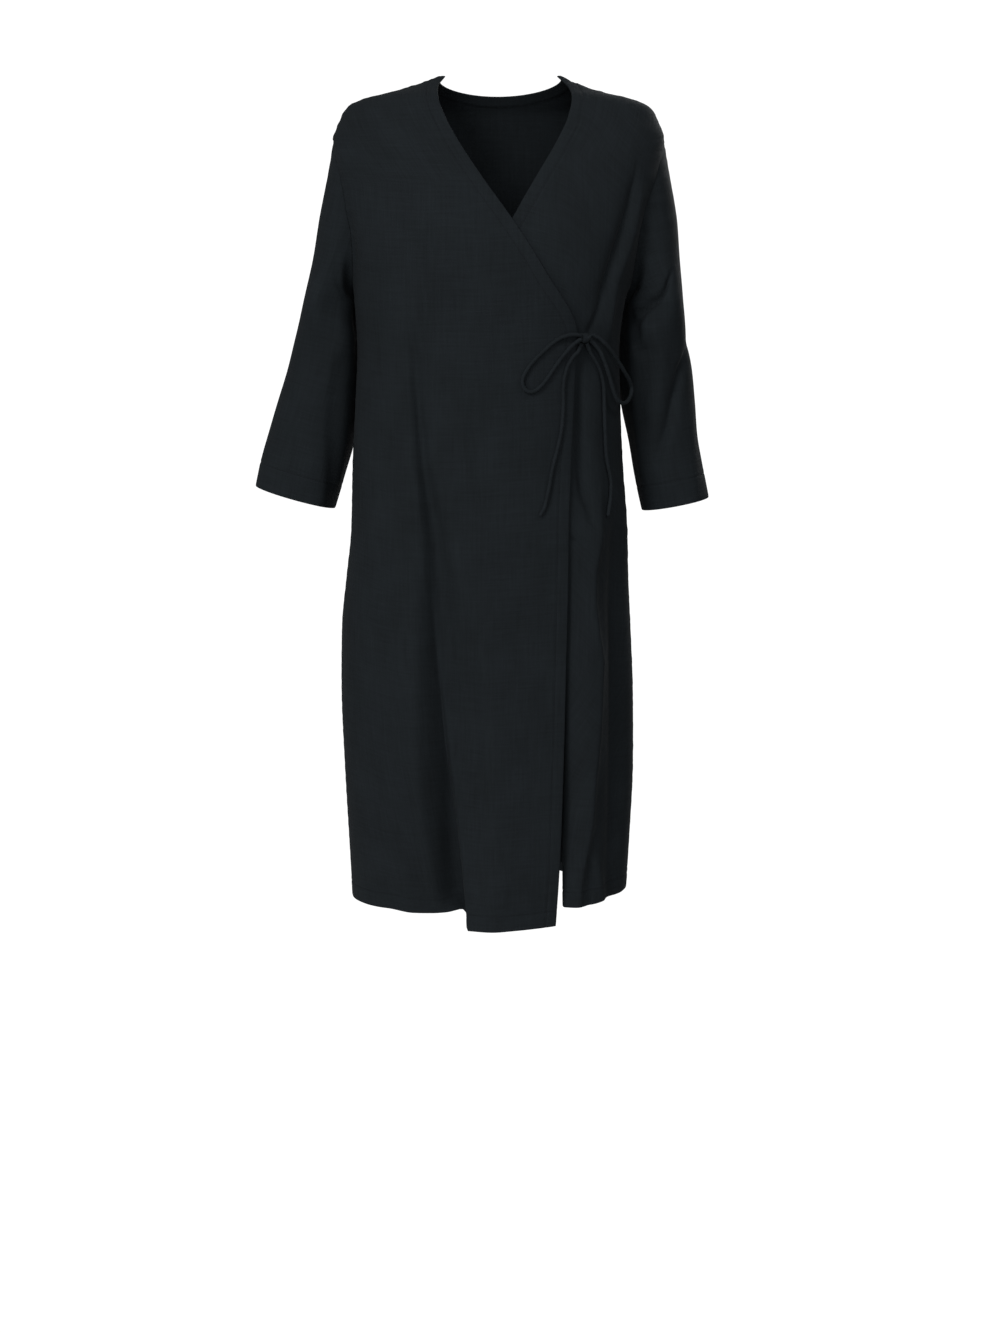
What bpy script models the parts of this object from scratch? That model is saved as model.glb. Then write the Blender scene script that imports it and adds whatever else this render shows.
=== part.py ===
"""A linen wrap dress in the hollow shape that it has when worn.

Metres, +Z up. The wearer faces -Y, so +X is the wearer's left. The origin lies midway between the two neck
points, where the shoulders hold the dress up, and every height is given as a drop below it.
"""

import math

import bmesh
import bpy
import numpy as np
from mathutils.bvhtree import BVHTree

# Cloth
CLOTH = 0.0015  # thickness of a wall
SEAM_GAP = 0.0003  # between two pieces at a seam
LAYER_STEP = 0.0048  # from the face of the right front to the face of the left front beneath it
LINEN = (0.014, 0.015, 0.017, 1.0)

# Drops below the neck points
TOP_DROP = 0.002
SHOULDER_DROP = 0.080
UNDERARM_DROP = 0.285
WAIST_DROP = 0.329
HEM_DROP = 1.090

# Places on the body of the dress
SIDE_SEAM_BACK = 0.012  # the side seams lie this far behind the middle of the shoulders
BACK_NECK_DIP = 0.012  # the back neckline hangs this far below the neck points
UNDERARM_POINT = 0.45  # how far each sleeve is drawn to a point at the underarm seam, from 0 to 1
ARMHOLE_EASE = 0.0010  # the sleeve's head is smaller than the armhole by this much all round
STEP_HALF = 0.005  # half the width of the hem's step, which has columns of its own
TUCK_X = 0.088  # the left front is folded back under itself here
TUCK_DEPTH = 0.030
TUCK_RADIUS = 0.0022
TUCK_TOP_DROP = 0.62
TUCK_FULL_DROP = 0.95

# Ties
TIE_DIAMETER = 0.005
TIE_GAP = 0.0005  # from a tie to what it lies on
TIE_STRAIGHT = 0.004  # a tie leaves the knot straight for this far
TIE_POINT_SPACING = 0.0080
KNOT_SIZE = (0.0085, 0.0062, 0.0070)  # half its width, depth and height
KNOT_PLACE = (0.1035, 0.3315)


def table(names, *rows):
    """A table's rows as named columns."""
    return dict(zip(names.split(), np.array(rows, float).T))


# The body of the dress at a drop: how far it reaches each way, and how square its corners are.
BODY = table(
    "drop   right   left    front   back   squareness",
    (0.000, 0.0740, 0.0735, 0.0080, 0.060, 2.0),
    (0.009, 0.0985, 0.0920, 0.0200, 0.067, 2.0),
    (0.022, 0.1410, 0.1300, 0.0380, 0.076, 2.1),
    (0.033, 0.1830, 0.1740, 0.0520, 0.084, 2.2),
    (0.043, 0.1990, 0.1930, 0.0600, 0.089, 2.3),
    (0.060, 0.2075, 0.2020, 0.0700, 0.096, 2.4),
    (0.080, 0.2150, 0.2090, 0.0810, 0.102, 2.5),
    (0.120, 0.2120, 0.2050, 0.0960, 0.110, 2.6),
    (0.190, 0.2020, 0.1900, 0.1150, 0.114, 2.6),
    (0.250, 0.1940, 0.1730, 0.1240, 0.113, 2.5),
    (0.285, 0.1905, 0.1610, 0.1260, 0.111, 2.4),
    (0.340, 0.1880, 0.1550, 0.1240, 0.108, 2.3),
    (0.420, 0.1920, 0.1575, 0.1210, 0.109, 2.3),
    (0.490, 0.1965, 0.1615, 0.1200, 0.114, 2.3),
    (0.580, 0.2000, 0.1690, 0.1210, 0.122, 2.3),
    (0.640, 0.2070, 0.1710, 0.1220, 0.126, 2.3),
    (0.710, 0.2145, 0.1750, 0.1230, 0.128, 2.3),
    (0.800, 0.2165, 0.1795, 0.1235, 0.130, 2.3),
    (0.900, 0.2138, 0.1810, 0.1240, 0.131, 2.3),
    (1.000, 0.2097, 0.1775, 0.1245, 0.131, 2.3),
    (1.100, 0.2055, 0.1725, 0.1250, 0.131, 2.3),
)

# The armholes: how far they reach before and behind their middle, as a share of the way down.
ARMHOLE = table(
    "share reach",
    (0.00, 0.0),
    (0.10, 0.024),
    (0.24, 0.040),
    (0.40, 0.050),
    (0.56, 0.053),
    (0.72, 0.048),
    (0.86, 0.034),
    (1.00, 0.0),
)

# The free edge of each front, from the neck point round the V neck and down to the hem.
RIGHT_FRONT_EDGE = table(
    "drop x",
    (0.000, -0.0700),
    (0.019, -0.0795),
    (0.034, -0.0785),
    (0.062, -0.0690),
    (0.089, -0.0550),
    (0.141, -0.0210),
    (0.188, 0.0130),
    (0.251, 0.0540),
    (0.329, 0.0955),
    (0.380, 0.0940),
    (0.565, 0.0860),
    (0.880, 0.0805),
    (1.010, 0.0773),
    (1.100, 0.0722),
)
LEFT_FRONT_EDGE = table(
    "drop x",
    (0.000, 0.0700),
    (0.019, 0.0855),
    (0.034, 0.0885),
    (0.062, 0.0830),
    (0.089, 0.0710),
    (0.141, 0.0410),
    (0.188, 0.0130),
    (0.251, -0.0270),
    (0.329, -0.0750),
    (1.100, -0.0750),
)

# A hollow in the right front that ends in a step, over the wearer's forward leg. It deepens to the hem.
HEM_STEP = table(
    "drop   x      hollow  spread",
    (0.30, -0.113, 0.000, 0.030),
    (0.56, -0.099, 0.000, 0.030),
    (0.70, -0.090, 0.004, 0.035),
    (0.84, -0.079, 0.012, 0.060),
    (0.94, -0.068, 0.024, 0.095),
    (1.02, -0.059, 0.040, 0.130),
    (1.09, -0.052, 0.056, 0.146),
)

# The hem of each front: its drop by distance from the side seam along the cloth.
RIGHT_HEM = table(
    "length drop",
    (0.000, 1.085),
    (0.040, 1.080),
    (0.080, 1.078),
    (0.120, 1.079),
    (0.155, 1.084),
    (0.200, 1.081),
    (0.225, 1.077),
    (0.239, 1.095),
    (0.270, 1.097),
    (0.300, 1.095),
    (0.357, 1.091),
)
LEFT_HEM = table(
    "length drop",
    (0.00, 1.079),
    (0.05, 1.070),
    (0.09, 1.070),
    (0.12, 1.0735),
    (0.145, 1.0745),
    (0.185, 1.035),
    (0.227, 1.014),
    (0.34, 0.985),
)

# Soft folds, as troughs: depth below the cloth, half width, and the route as x and drop.
# A minus depth is a ridge.
FRONT_FOLDS = (
    # depth, half width, route
    (0.0045, 0.011, ((-0.113, 0.31), (-0.108, 0.43), (-0.098, 0.56), (-0.090, 0.72), (-0.080, 0.84))),
    (0.0025, 0.014, ((-0.036, 0.70), (-0.030, 0.94))),
    (0.0050, 0.009, ((0.105, 0.345), (0.101, 0.44), (0.104, 0.50), (0.112, 0.55))),
    (-0.0045, 0.011, ((0.118, 0.36), (0.120, 0.50), (0.118, 0.62))),
    (0.0050, 0.010, ((0.110, 0.325), (0.129, 0.27), (0.150, 0.205), (0.178, 0.16))),
    (-0.0045, 0.010, ((0.124, 0.32), (0.146, 0.26), (0.172, 0.20))),
    (-0.0040, 0.010, ((0.096, 0.31), (0.112, 0.26), (0.140, 0.19), (0.160, 0.13))),
    (0.0040, 0.013, ((0.130, 0.53), (0.131, 0.70), (0.126, 0.90))),
    (-0.0045, 0.010, ((0.118, 0.96), (0.110, 1.03), (0.108, 1.10))),
    (0.0050, 0.010, ((0.128, 0.97), (0.124, 1.04), (0.123, 1.10))),
    (-0.0040, 0.010, ((0.134, 0.98), (0.138, 1.04), (0.141, 1.10))),
    (0.0040, 0.018, ((-0.165, 0.33), (-0.160, 0.45), (-0.150, 0.58))),
)
BACK_FOLDS = (
    (0.0045, 0.016, ((-0.060, 0.16), (-0.080, 0.34), (-0.100, 0.62), (-0.108, 1.10))),
    (-0.0045, 0.018, ((-0.040, 0.30), (-0.058, 0.60), (-0.060, 1.10))),
    (0.0050, 0.017, ((0.030, 0.20), (0.028, 0.42), (0.010, 0.74), (0.004, 1.10))),
    (-0.0045, 0.018, ((0.060, 0.28), (0.062, 0.62), (0.054, 1.10))),
    (0.0045, 0.016, ((0.088, 0.22), (0.098, 0.48), (0.104, 0.80), (0.108, 1.10))),
    (-0.0040, 0.016, ((-0.130, 0.44), (-0.142, 0.76), (-0.146, 1.10))),
)
FLARE_TOP_DROP = 0.50
BACK_HEM_FLARE = 1.1  # the back's folds are deeper at the hem than at the waist by this share

# The sleeves: the outer line of each from the shoulder, as distance from the centre plane.
RIGHT_OUTER = table(
    "drop outer",
    (0.080, 0.2155),
    (0.105, 0.2205),
    (0.134, 0.2260),
    (0.179, 0.2356),
    (0.229, 0.2450),
    (0.285, 0.2590),
)
LEFT_OUTER = table(
    "drop outer",
    (0.080, 0.2095),
    (0.105, 0.2150),
    (0.134, 0.2205),
    (0.179, 0.2285),
    (0.229, 0.2330),
    (0.285, 0.2390),
)
# Below the underarm: the outer and inner line of each sleeve, and its middle and half depth front to back.
RIGHT_SLEEVE = table(
    "share outer  outer_drop inner inner_drop middle half_depth",
    (0.00, 0.2590, 0.285, 0.1905, 0.2850, 0.012, 0.0560),
    (0.08, 0.2645, 0.304, 0.1915, 0.3040, 0.017, 0.0565),
    (0.20, 0.2740, 0.333, 0.1885, 0.3360, 0.027, 0.0570),
    (0.36, 0.2860, 0.371, 0.1870, 0.3790, 0.037, 0.0565),
    (0.52, 0.2995, 0.409, 0.1910, 0.4210, 0.042, 0.0555),
    (0.68, 0.3120, 0.447, 0.1985, 0.4645, 0.043, 0.0545),
    (0.84, 0.3235, 0.485, 0.2115, 0.5085, 0.040, 0.0535),
    (1.00, 0.3320, 0.523, 0.2255, 0.5535, 0.036, 0.0525),
)
LEFT_SLEEVE = table(
    "share outer  outer_drop inner inner_drop middle half_depth",
    (0.00, 0.2390, 0.285, 0.1610, 0.2850, 0.012, 0.0560),
    (0.08, 0.2410, 0.304, 0.1620, 0.3040, 0.017, 0.0565),
    (0.20, 0.2455, 0.334, 0.1565, 0.3360, 0.027, 0.0570),
    (0.36, 0.2535, 0.373, 0.1565, 0.3790, 0.037, 0.0565),
    (0.52, 0.2595, 0.412, 0.1640, 0.4210, 0.042, 0.0555),
    (0.68, 0.2648, 0.453, 0.1730, 0.4645, 0.042, 0.0545),
    (0.84, 0.2722, 0.494, 0.1808, 0.5085, 0.038, 0.0535),
    (1.00, 0.2812, 0.538, 0.1915, 0.5560, 0.034, 0.0525),
)
# Folds of the sleeves: depth, half width, and the route as share round from the front seam and row
# down the arm.
RIGHT_SLEEVE_FOLDS = (
    (0.0060, 0.060, ((0.16, 0.62), (0.17, 1.10), (0.20, 1.50), (0.20, 1.95))),
    (0.0045, 0.055, ((0.48, 0.90), (0.36, 1.30), (0.27, 1.62))),
    (0.0040, 0.055, ((0.90, 0.70), (0.78, 1.15), (0.66, 1.45))),
    (0.0040, 0.050, ((0.60, 1.35), (0.72, 1.60), (0.86, 1.80))),
)
LEFT_SLEEVE_FOLDS = (
    (0.0060, 0.060, ((0.48, 0.80), (0.30, 0.98), (0.16, 1.08))),
    (0.0055, 0.050, ((0.46, 1.12), (0.38, 1.32), (0.27, 1.62))),
    (0.0045, 0.050, ((0.13, 1.02), (0.17, 1.22), (0.20, 1.48), (0.20, 1.90))),
    (0.0040, 0.055, ((0.88, 0.72), (0.74, 1.10), (0.64, 1.42))),
    (0.0040, 0.050, ((0.62, 1.38), (0.74, 1.60), (0.84, 1.84))),
)

# Rows down the pieces, as drops, and columns across them.
SHOULDER_ROWS = (TOP_DROP, 0.009, 0.015, 0.021, 0.027, 0.034, 0.043, 0.058)
UPPER_SKIRT_ROWS = (0.330, 0.375, 0.425, 0.480, 0.535, 0.590, 0.650)
LOWER_SKIRT_ROWS = (0.710, 0.770, 0.830, 0.885, 0.940, 0.990, 1.040, 1.090)
RIGHT_FRONT_COLUMNS = (9, 4, 12)
LEFT_FRONT_COLUMNS = (9, 4, 2, 4, 6)
BACK_COLUMNS = (24,)
SLEEVE_COLUMNS = 20
SLEEVE_ROWS = (1.07, 1.15, 1.25, 1.36, 1.48, 1.60, 1.73, 1.87, 2.0)

# The ties, as x and drop down the cloth, and how far the cord is lifted off it. Each starts at the knot.
LEFT_LOOP = (
    (0.0920, 0.3270, 0.0030),
    (0.0840, 0.3282, 0.0020),
    (0.0740, 0.3315, 0.0010),
    (0.0620, 0.3396, 0.0000),
    (0.0500, 0.3505, 0.0000),
    (0.0398, 0.3605, 0.0000),
    (0.0318, 0.3710, 0.0000),
    (0.0265, 0.3815, 0.0000),
    (0.0272, 0.3915, 0.0000),
    (0.0325, 0.3972, 0.0000),
    (0.0390, 0.3978, 0.0000),
    (0.0452, 0.3945, 0.0000),
    (0.0520, 0.3878, 0.0000),
    (0.0612, 0.3752, 0.0000),
    (0.0700, 0.3620, 0.0005),
    (0.0780, 0.3512, 0.0015),
    (0.0850, 0.3425, 0.0025),
    (0.0920, 0.3358, 0.0030),
)
RIGHT_LOOP = (
    (0.1150, 0.3272, 0.0040),
    (0.1185, 0.3310, 0.0050),
    (0.1235, 0.3370, 0.0060),
    (0.1300, 0.3455, 0.0070),
    (0.1362, 0.3552, 0.0085),
    (0.1415, 0.3652, 0.0100),
    (0.1460, 0.3750, 0.0120),
    (0.1498, 0.3848, 0.0140),
    (0.1518, 0.3940, 0.0150),
    (0.1508, 0.4040, 0.0145),
    (0.1472, 0.4112, 0.0130),
    (0.1425, 0.4125, 0.0115),
    (0.1380, 0.4080, 0.0100),
    (0.1350, 0.4005, 0.0090),
    (0.1325, 0.3900, 0.0080),
    (0.1296, 0.3780, 0.0072),
    (0.1257, 0.3652, 0.0066),
    (0.1210, 0.3515, 0.0062),
    (0.1150, 0.3382, 0.0045),
)
LEFT_TAIL = (
    (0.0985, 0.3423, 0.0035),
    (0.0935, 0.3485, 0.0030),
    (0.0880, 0.3555, 0.0008),
    (0.0828, 0.3650, 0.0000),
    (0.0788, 0.3770, 0.0000),
    (0.0768, 0.3920, 0.0000),
    (0.0770, 0.4143, 0.0000),
    (0.0762, 0.4303, 0.0000),
    (0.0745, 0.4474, 0.0000),
    (0.0700, 0.4695, 0.0000),
    (0.0640, 0.4930, 0.0000),
    (0.0593, 0.5200, 0.0000),
    (0.0537, 0.5430, 0.0000),
    (0.0481, 0.5528, 0.0000),
)
RIGHT_TAIL = (
    (0.1085, 0.3423, 0.0020),
    (0.1120, 0.3490, 0.0008),
    (0.1170, 0.3570, 0.0000),
    (0.1220, 0.3665, 0.0000),
    (0.1260, 0.3780, 0.0000),
    (0.1282, 0.3900, 0.0000),
    (0.1290, 0.4020, 0.0000),
    (0.1294, 0.4143, 0.0000),
    (0.1309, 0.4474, 0.0000),
    (0.1333, 0.4808, 0.0000),
    (0.1373, 0.4990, 0.0000),
    (0.1395, 0.5120, 0.0000),
    (0.1394, 0.5250, 0.0000),
    (0.1380, 0.5389, 0.0000),
    (0.1352, 0.5566, 0.0000),
)


def smooth(columns, name, at):
    """Reads a column at any place along the table's first column, on a curve with no overshoot."""
    place = next(iter(columns.values()))
    value = columns[name]
    gap = np.diff(place)
    slope = np.diff(value) / gap
    before, after = slope[:-1], slope[1:]
    same_way = before * after > 0
    total = np.where(same_way, before + after, 1.0)
    tangent = np.concatenate((slope[:1], np.where(same_way, 2 * before * after / total, 0.0), slope[-1:]))
    at = np.clip(at, place[0], place[-1])
    i = np.clip(np.searchsorted(place, at, side="right") - 1, 0, len(gap) - 1)
    t = (at - place[i]) / gap[i]
    start = (1 + 2 * t) * (1 - t) ** 2 * value[i] + t * (1 - t) ** 2 * gap[i] * tangent[i]
    return start + t * t * (3 - 2 * t) * value[i + 1] + t * t * (t - 1) * gap[i] * tangent[i + 1]


def ease(share):
    """A soft run from 0 to 1."""
    share = np.clip(share, 0.0, 1.0)
    return share * share * (3 - 2 * share)


def unit(vectors):
    return vectors / np.linalg.norm(vectors, axis=-1, keepdims=True)


def body_size(drop):
    """The middle, half width and squareness of the body of the dress."""
    right, left = smooth(BODY, "right", drop), smooth(BODY, "left", drop)
    return (left - right) / 2, (left + right) / 2, smooth(BODY, "squareness", drop)


def ring(around, drop):
    """A point of the plain body. The angle runs from the wearer's left side, by the front, to the right."""
    middle, half, squareness = body_size(drop)
    across, along = np.cos(around), np.sin(around)
    depth = np.where(along >= 0, smooth(BODY, "front", drop), smooth(BODY, "back", drop))
    reach = (np.abs(across / half) ** squareness + np.abs(along / depth) ** squareness) ** (-1 / squareness)
    return np.stack((middle + reach * across, -reach * along, -drop * np.ones_like(reach)), axis=-1)


def around_at_x(x, drop):
    """The angle of the front at this x."""
    middle, half, squareness = body_size(drop)
    share = np.clip(np.abs(x - middle) / half, 0.0, 1.0)
    depth = smooth(BODY, "front", drop) * (1 - share**squareness) ** (1 / squareness)
    return np.arctan2(depth, x - middle)


def around_at_y(y, drop, side):
    """The angle of a side at this y: side is 1 for the wearer's left and -1 for the right."""
    middle, half, squareness = body_size(drop)
    depth = np.where(y < 0, smooth(BODY, "front", drop), smooth(BODY, "back", drop))
    share = np.clip(np.abs(y) / depth, 0.0, 1.0)
    angle = np.arctan2(-y, side * half * (1 - share**squareness) ** (1 / squareness))
    return np.where(angle < -math.pi / 2, angle + 2 * math.pi, angle)


def trough(across, down, route, half_width):
    """1 along the route, and softly less beside it and past its ends."""
    nearest = np.full(np.broadcast(across, down).shape, np.inf)
    for (x0, d0), (x1, d1) in zip(route, route[1:]):
        span = (x1 - x0) ** 2 + (d1 - d0) ** 2
        share = np.clip(((across - x0) * (x1 - x0) + (down - d0) * (d1 - d0)) / span, 0.0, 1.0)
        away = (across - x0 - share * (x1 - x0)) ** 2 + (down - d0 - share * (d1 - d0)) ** 2
        nearest = np.minimum(nearest, away)
    return np.exp(-nearest / half_width**2)


def folds(across, down, rows):
    return sum(-depth * trough(across, down, route, width) for depth, width, route in rows)


def hem_hollow(x, drop):
    step = smooth(HEM_STEP, "x", drop)
    spread = smooth(HEM_STEP, "spread", drop)
    rise = ease((x - step + spread) / spread)
    fall = 1 - ease((x - step) / (1.4 * STEP_HALF))
    return -smooth(HEM_STEP, "hollow", drop) * rise * fall


def relief(points, along):
    """How far the folds lift the cloth off the plain body."""
    x, drop = points[..., 0], -points[..., 2]
    front = folds(x, drop, FRONT_FOLDS) + hem_hollow(x, drop)
    flare = 1 + BACK_HEM_FLARE * ease((drop - FLARE_TOP_DROP) / (HEM_DROP - FLARE_TOP_DROP))
    back = flare * folds(x, drop, BACK_FOLDS)
    return np.where(along >= 0, front * ease(along / 0.3), back * ease(-along / 0.3))


def body_face(around, drop, inset=0.0):
    """A point of the folded body, the inset below its face."""
    turn, rise = 1e-3, 2e-4
    base = ring(around, drop)
    across = ring(around + turn, drop) - ring(around - turn, drop)
    down = ring(around, drop + rise) - ring(around, np.maximum(drop - rise, 0.0))
    outward = unit(np.cross(across, down))
    return base + outward * (relief(base, np.sin(around)) - inset)[..., None]


def armhole_reach(share):
    """Half the armhole, on a rounder curve than straight lines between the table's rows."""
    return smooth(ARMHOLE, "reach", share)


def seam_y(drop):
    """The shoulder seam, the middle of the armhole and the side seam, front to back."""
    return SIDE_SEAM_BACK * ease((drop - SHOULDER_DROP) / (UNDERARM_DROP - SHOULDER_DROP))


def edge_y(drop, toward):
    """The edge of a front (toward -1) or of the back (toward 1) along shoulder, armhole and side."""
    share = (drop - SHOULDER_DROP) / (UNDERARM_DROP - SHOULDER_DROP)
    reach = np.where((share > 0) & (share < 1), armhole_reach(np.clip(share, 0.0, 1.0)), 0.0)
    return seam_y(drop) + toward * (reach + SEAM_GAP / 2)


def armhole_rows():
    return SHOULDER_DROP + ARMHOLE["share"] * (UNDERARM_DROP - SHOULDER_DROP)


def body_rows():
    return np.concatenate((SHOULDER_ROWS, armhole_rows(), UPPER_SKIRT_ROWS, LOWER_SKIRT_ROWS))


def stretches(counts):
    """Columns in equal steps within each stretch: stretch 2 runs from 1 to 2."""
    return np.concatenate([[0.0]] + [k + np.arange(1, n + 1) / n for k, n in enumerate(counts)])


def lengths_from(side_angle, direction, drop):
    """Angles from a side round the front, and their distance from it along the body."""
    angles = side_angle + direction * np.linspace(0.0, 0.97 * math.pi, 240)
    points = ring(angles, np.full_like(angles, drop))
    return angles, np.concatenate(([0.0], np.cumsum(np.linalg.norm(np.diff(points, axis=0), axis=1))))


def length_at_x(x, drop, angles, lengths):
    at = around_at_x(x, drop)
    if angles[0] > angles[-1]:
        angles, lengths = angles[::-1], lengths[::-1]
    return np.interp(at, angles, lengths)


def hem_drop(drop, hem, start):
    """Carries a row down or up by its share of what the hem does."""
    return drop + (hem - HEM_DROP) * ease((drop - start) / (HEM_DROP - start))


def right_front(columns, rows):
    points = []
    for drop in rows:
        waist = max(drop, WAIST_DROP)
        stops = []
        for at in (waist, drop):
            angles, lengths = lengths_from(around_at_y(edge_y(at, -1), at, -1), -1, at)
            step = smooth(HEM_STEP, "x", at)
            places = (step - STEP_HALF, step + STEP_HALF, smooth(RIGHT_FRONT_EDGE, "x", at))
            stops.append(np.array([0.0] + [length_at_x(x, at, angles, lengths) for x in places]))
        shares = stops[0] / stops[0][-1]
        length = np.interp(columns, np.arange(4), shares * stops[1][-1])
        around = np.interp(length, lengths, angles)
        down = hem_drop(drop, smooth(RIGHT_HEM, "drop", length), 0.80)
        points.append(body_face(around, down))
    return np.array(points)


def tucked(length, fold, amount):
    """Where cloth at this length lies along the body and below its face, with the tuck taken."""
    radius, depth = TUCK_RADIUS, TUCK_DEPTH
    past = length - fold
    first = np.clip(past / radius, 0.0, math.pi)
    back = np.clip(past - math.pi * radius, 0.0, depth)
    second = np.clip((past - math.pi * radius - depth) / radius, 0.0, math.pi)
    on = np.maximum(past - 2 * math.pi * radius - depth, 0.0)
    place = np.minimum(length, fold) + radius * (np.sin(first) - np.sin(second)) - back + on
    inset = radius * (2 - np.cos(first) - np.cos(second))
    return (1 - amount) * length + amount * place, amount * inset


def left_front(columns, rows):
    points = []
    for drop in rows:
        waist = max(drop, WAIST_DROP)
        ends = []
        for at in (waist, drop):
            angles, lengths = lengths_from(around_at_y(edge_y(at, -1), at, 1), 1, at)
            ends.append(length_at_x(smooth(LEFT_FRONT_EDGE, "x", at), at, angles, lengths))
            if at == waist:
                fold = length_at_x(TUCK_X, at, angles, lengths)
        bend = math.pi * TUCK_RADIUS
        folded_back = fold + bend + TUCK_DEPTH
        stops = np.array([0.0, fold, fold + bend, folded_back, folded_back + bend, ends[0]])
        length = np.interp(columns, np.arange(6), stops * ends[1] / ends[0])
        amount = ease((drop - TUCK_TOP_DROP) / (TUCK_FULL_DROP - TUCK_TOP_DROP))
        place, inset = tucked(length, fold, amount)
        around = np.interp(place, lengths, angles)
        down = hem_drop(drop, smooth(LEFT_HEM, "drop", length), TUCK_TOP_DROP)
        x = ring(around, down)[..., 0]
        covered = ease((smooth(RIGHT_FRONT_EDGE, "x", down) + 0.035 - x) / 0.030)
        points.append(body_face(around, down, inset + LAYER_STEP * covered))
    return np.array(points)


def back(columns, rows):
    points = []
    for drop in rows:
        right = around_at_y(edge_y(drop, 1), drop, -1)
        left = around_at_y(edge_y(drop, 1), drop, 1) + 2 * math.pi
        around = np.linspace(right, left, 200)
        outline = ring(around, np.full_like(around, drop))
        lengths = np.concatenate(([0.0], np.cumsum(np.linalg.norm(np.diff(outline, axis=0), axis=1))))
        at = np.interp(columns * lengths[-1], lengths, around)
        dip = BACK_NECK_DIP * np.sin(math.pi * np.clip(columns, 0.0, 1.0)) ** 1.5
        down = drop + dip * (1 - ease(drop / 0.12))
        points.append(body_face(at, down))
    return np.array(points)


def sleeve_seam(share, side, toward):
    """A point of the sleeve's head on the body: toward is -1 for the front of it and 1 for the back."""
    height = UNDERARM_DROP - SHOULDER_DROP
    shrink = 1 - 3 * ARMHOLE_EASE / height
    drop = SHOULDER_DROP + ARMHOLE_EASE + share * shrink * height
    reach = armhole_reach(share)
    y = seam_y(drop) + toward * max(reach - ARMHOLE_EASE, 0.0)
    return body_face(np.array(around_at_y(y, drop, side)), np.array(drop))


def sleeve_arc(round_share, row, side, outer_line, lower):
    """A row of a sleeve. Row 1 is the underarm and row 2 the cuff."""
    sign = np.array((side, 1.0, 1.0))
    if row <= 1:
        front, rear = (sleeve_seam(row, side, toward) * sign for toward in (-1, 1))
        drop = -(front[2] + rear[2]) / 2
        middle, reach = (front[1] + rear[1]) / 2, (rear[1] - front[1]) / 2
        underarm = lower["half_depth"][0]
        half_depth = reach + (underarm - reach) * ease((row - 0.45) / 0.55)
        turn = math.sqrt(max(1 - (reach / half_depth) ** 2, 0.0)) if half_depth > 0 else 0.0
        outer = float(smooth(outer_line, "outer", drop))
        inner = (front[0] + rear[0]) / 2
        end = math.pi - math.asin(min(reach / half_depth, 1.0)) if turn > 0 else math.pi / 2
        angle = end * (2 * np.concatenate((round_share, [0.0, 1.0])) - 1)
        across = np.maximum((np.cos(angle) + turn) / (1 + turn), 0.0)
        x = inner + (outer - inner) * across ** (1 - UNDERARM_POINT * ease((row - 0.45) / 0.55))
        y = middle + half_depth * np.sin(angle)
        arc = np.stack((x, y, np.full_like(x, -drop)), axis=-1)
        to_front = np.clip(1 - 2 * round_share, 0.0, None)[:, None]
        to_rear = np.clip(2 * round_share - 1, 0.0, None)[:, None]
        arc = arc[:-2] + (front - arc[-2]) * to_front + (rear - arc[-1]) * to_rear
        return arc * sign
    share = row - 1
    values = {name: float(smooth(lower, name, share)) for name in lower}
    angle = math.pi * (2 * round_share - 1)
    across = (1 + np.cos(angle)) / 2
    pointed = across ** (1 - UNDERARM_POINT * (1 - ease(share / 0.25)))
    seam = sleeve_seam(1.0, side, -1) * sign
    inner = values["inner"] + (seam[0] - lower["inner"][0]) * max(1 - share / 0.08, 0.0)
    x = inner + (values["outer"] - inner) * pointed
    y = values["middle"] + values["half_depth"] * np.sin(angle)
    drop = values["inner_drop"] + (values["outer_drop"] - values["inner_drop"]) * across
    return np.stack((x, y, -drop), axis=-1) * sign


def sleeve(side, outer_line, lower, fold_rows):
    """The points of a sleeve by share round it and row down it, as a function."""
    first = ARMHOLE["share"][1]
    ends = [sleeve_seam(first, side, toward) for toward in (-1, 1)]
    top = sleeve_seam(0.0, side, -1)

    def head(round_share):
        share = (2 * round_share - 1)[:, None]
        return np.where(share < 0, top + (ends[0] - top) * -share, top + (ends[1] - top) * share)

    def plain(round_share, row):
        bend = 1 - ease((row - first) / 0.45)
        lifted = head(round_share) - sleeve_arc(round_share, first, side, outer_line, lower)
        return sleeve_arc(round_share, row, side, outer_line, lower) + lifted * bend

    def points(round_shares, rows):
        found = []
        for row in rows:
            arc = plain(round_shares, row)
            along = plain(round_shares + 1e-3, row) - plain(round_shares - 1e-3, row)
            near = min(row, 2 - 1e-3)
            down = plain(round_shares, near + 1e-3) - plain(round_shares, near - 1e-3)
            outward = -side * unit(np.cross(along, down))
            open_share = ease(8 * round_shares) * ease(8 * (1 - round_shares))
            near_head = ease((row - first) / 0.35)
            lift = folds(round_shares, np.full_like(round_shares, row), fold_rows)
            found.append(arc + outward * (lift * open_share * near_head)[:, None])
        return np.array(found)

    return points


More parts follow.
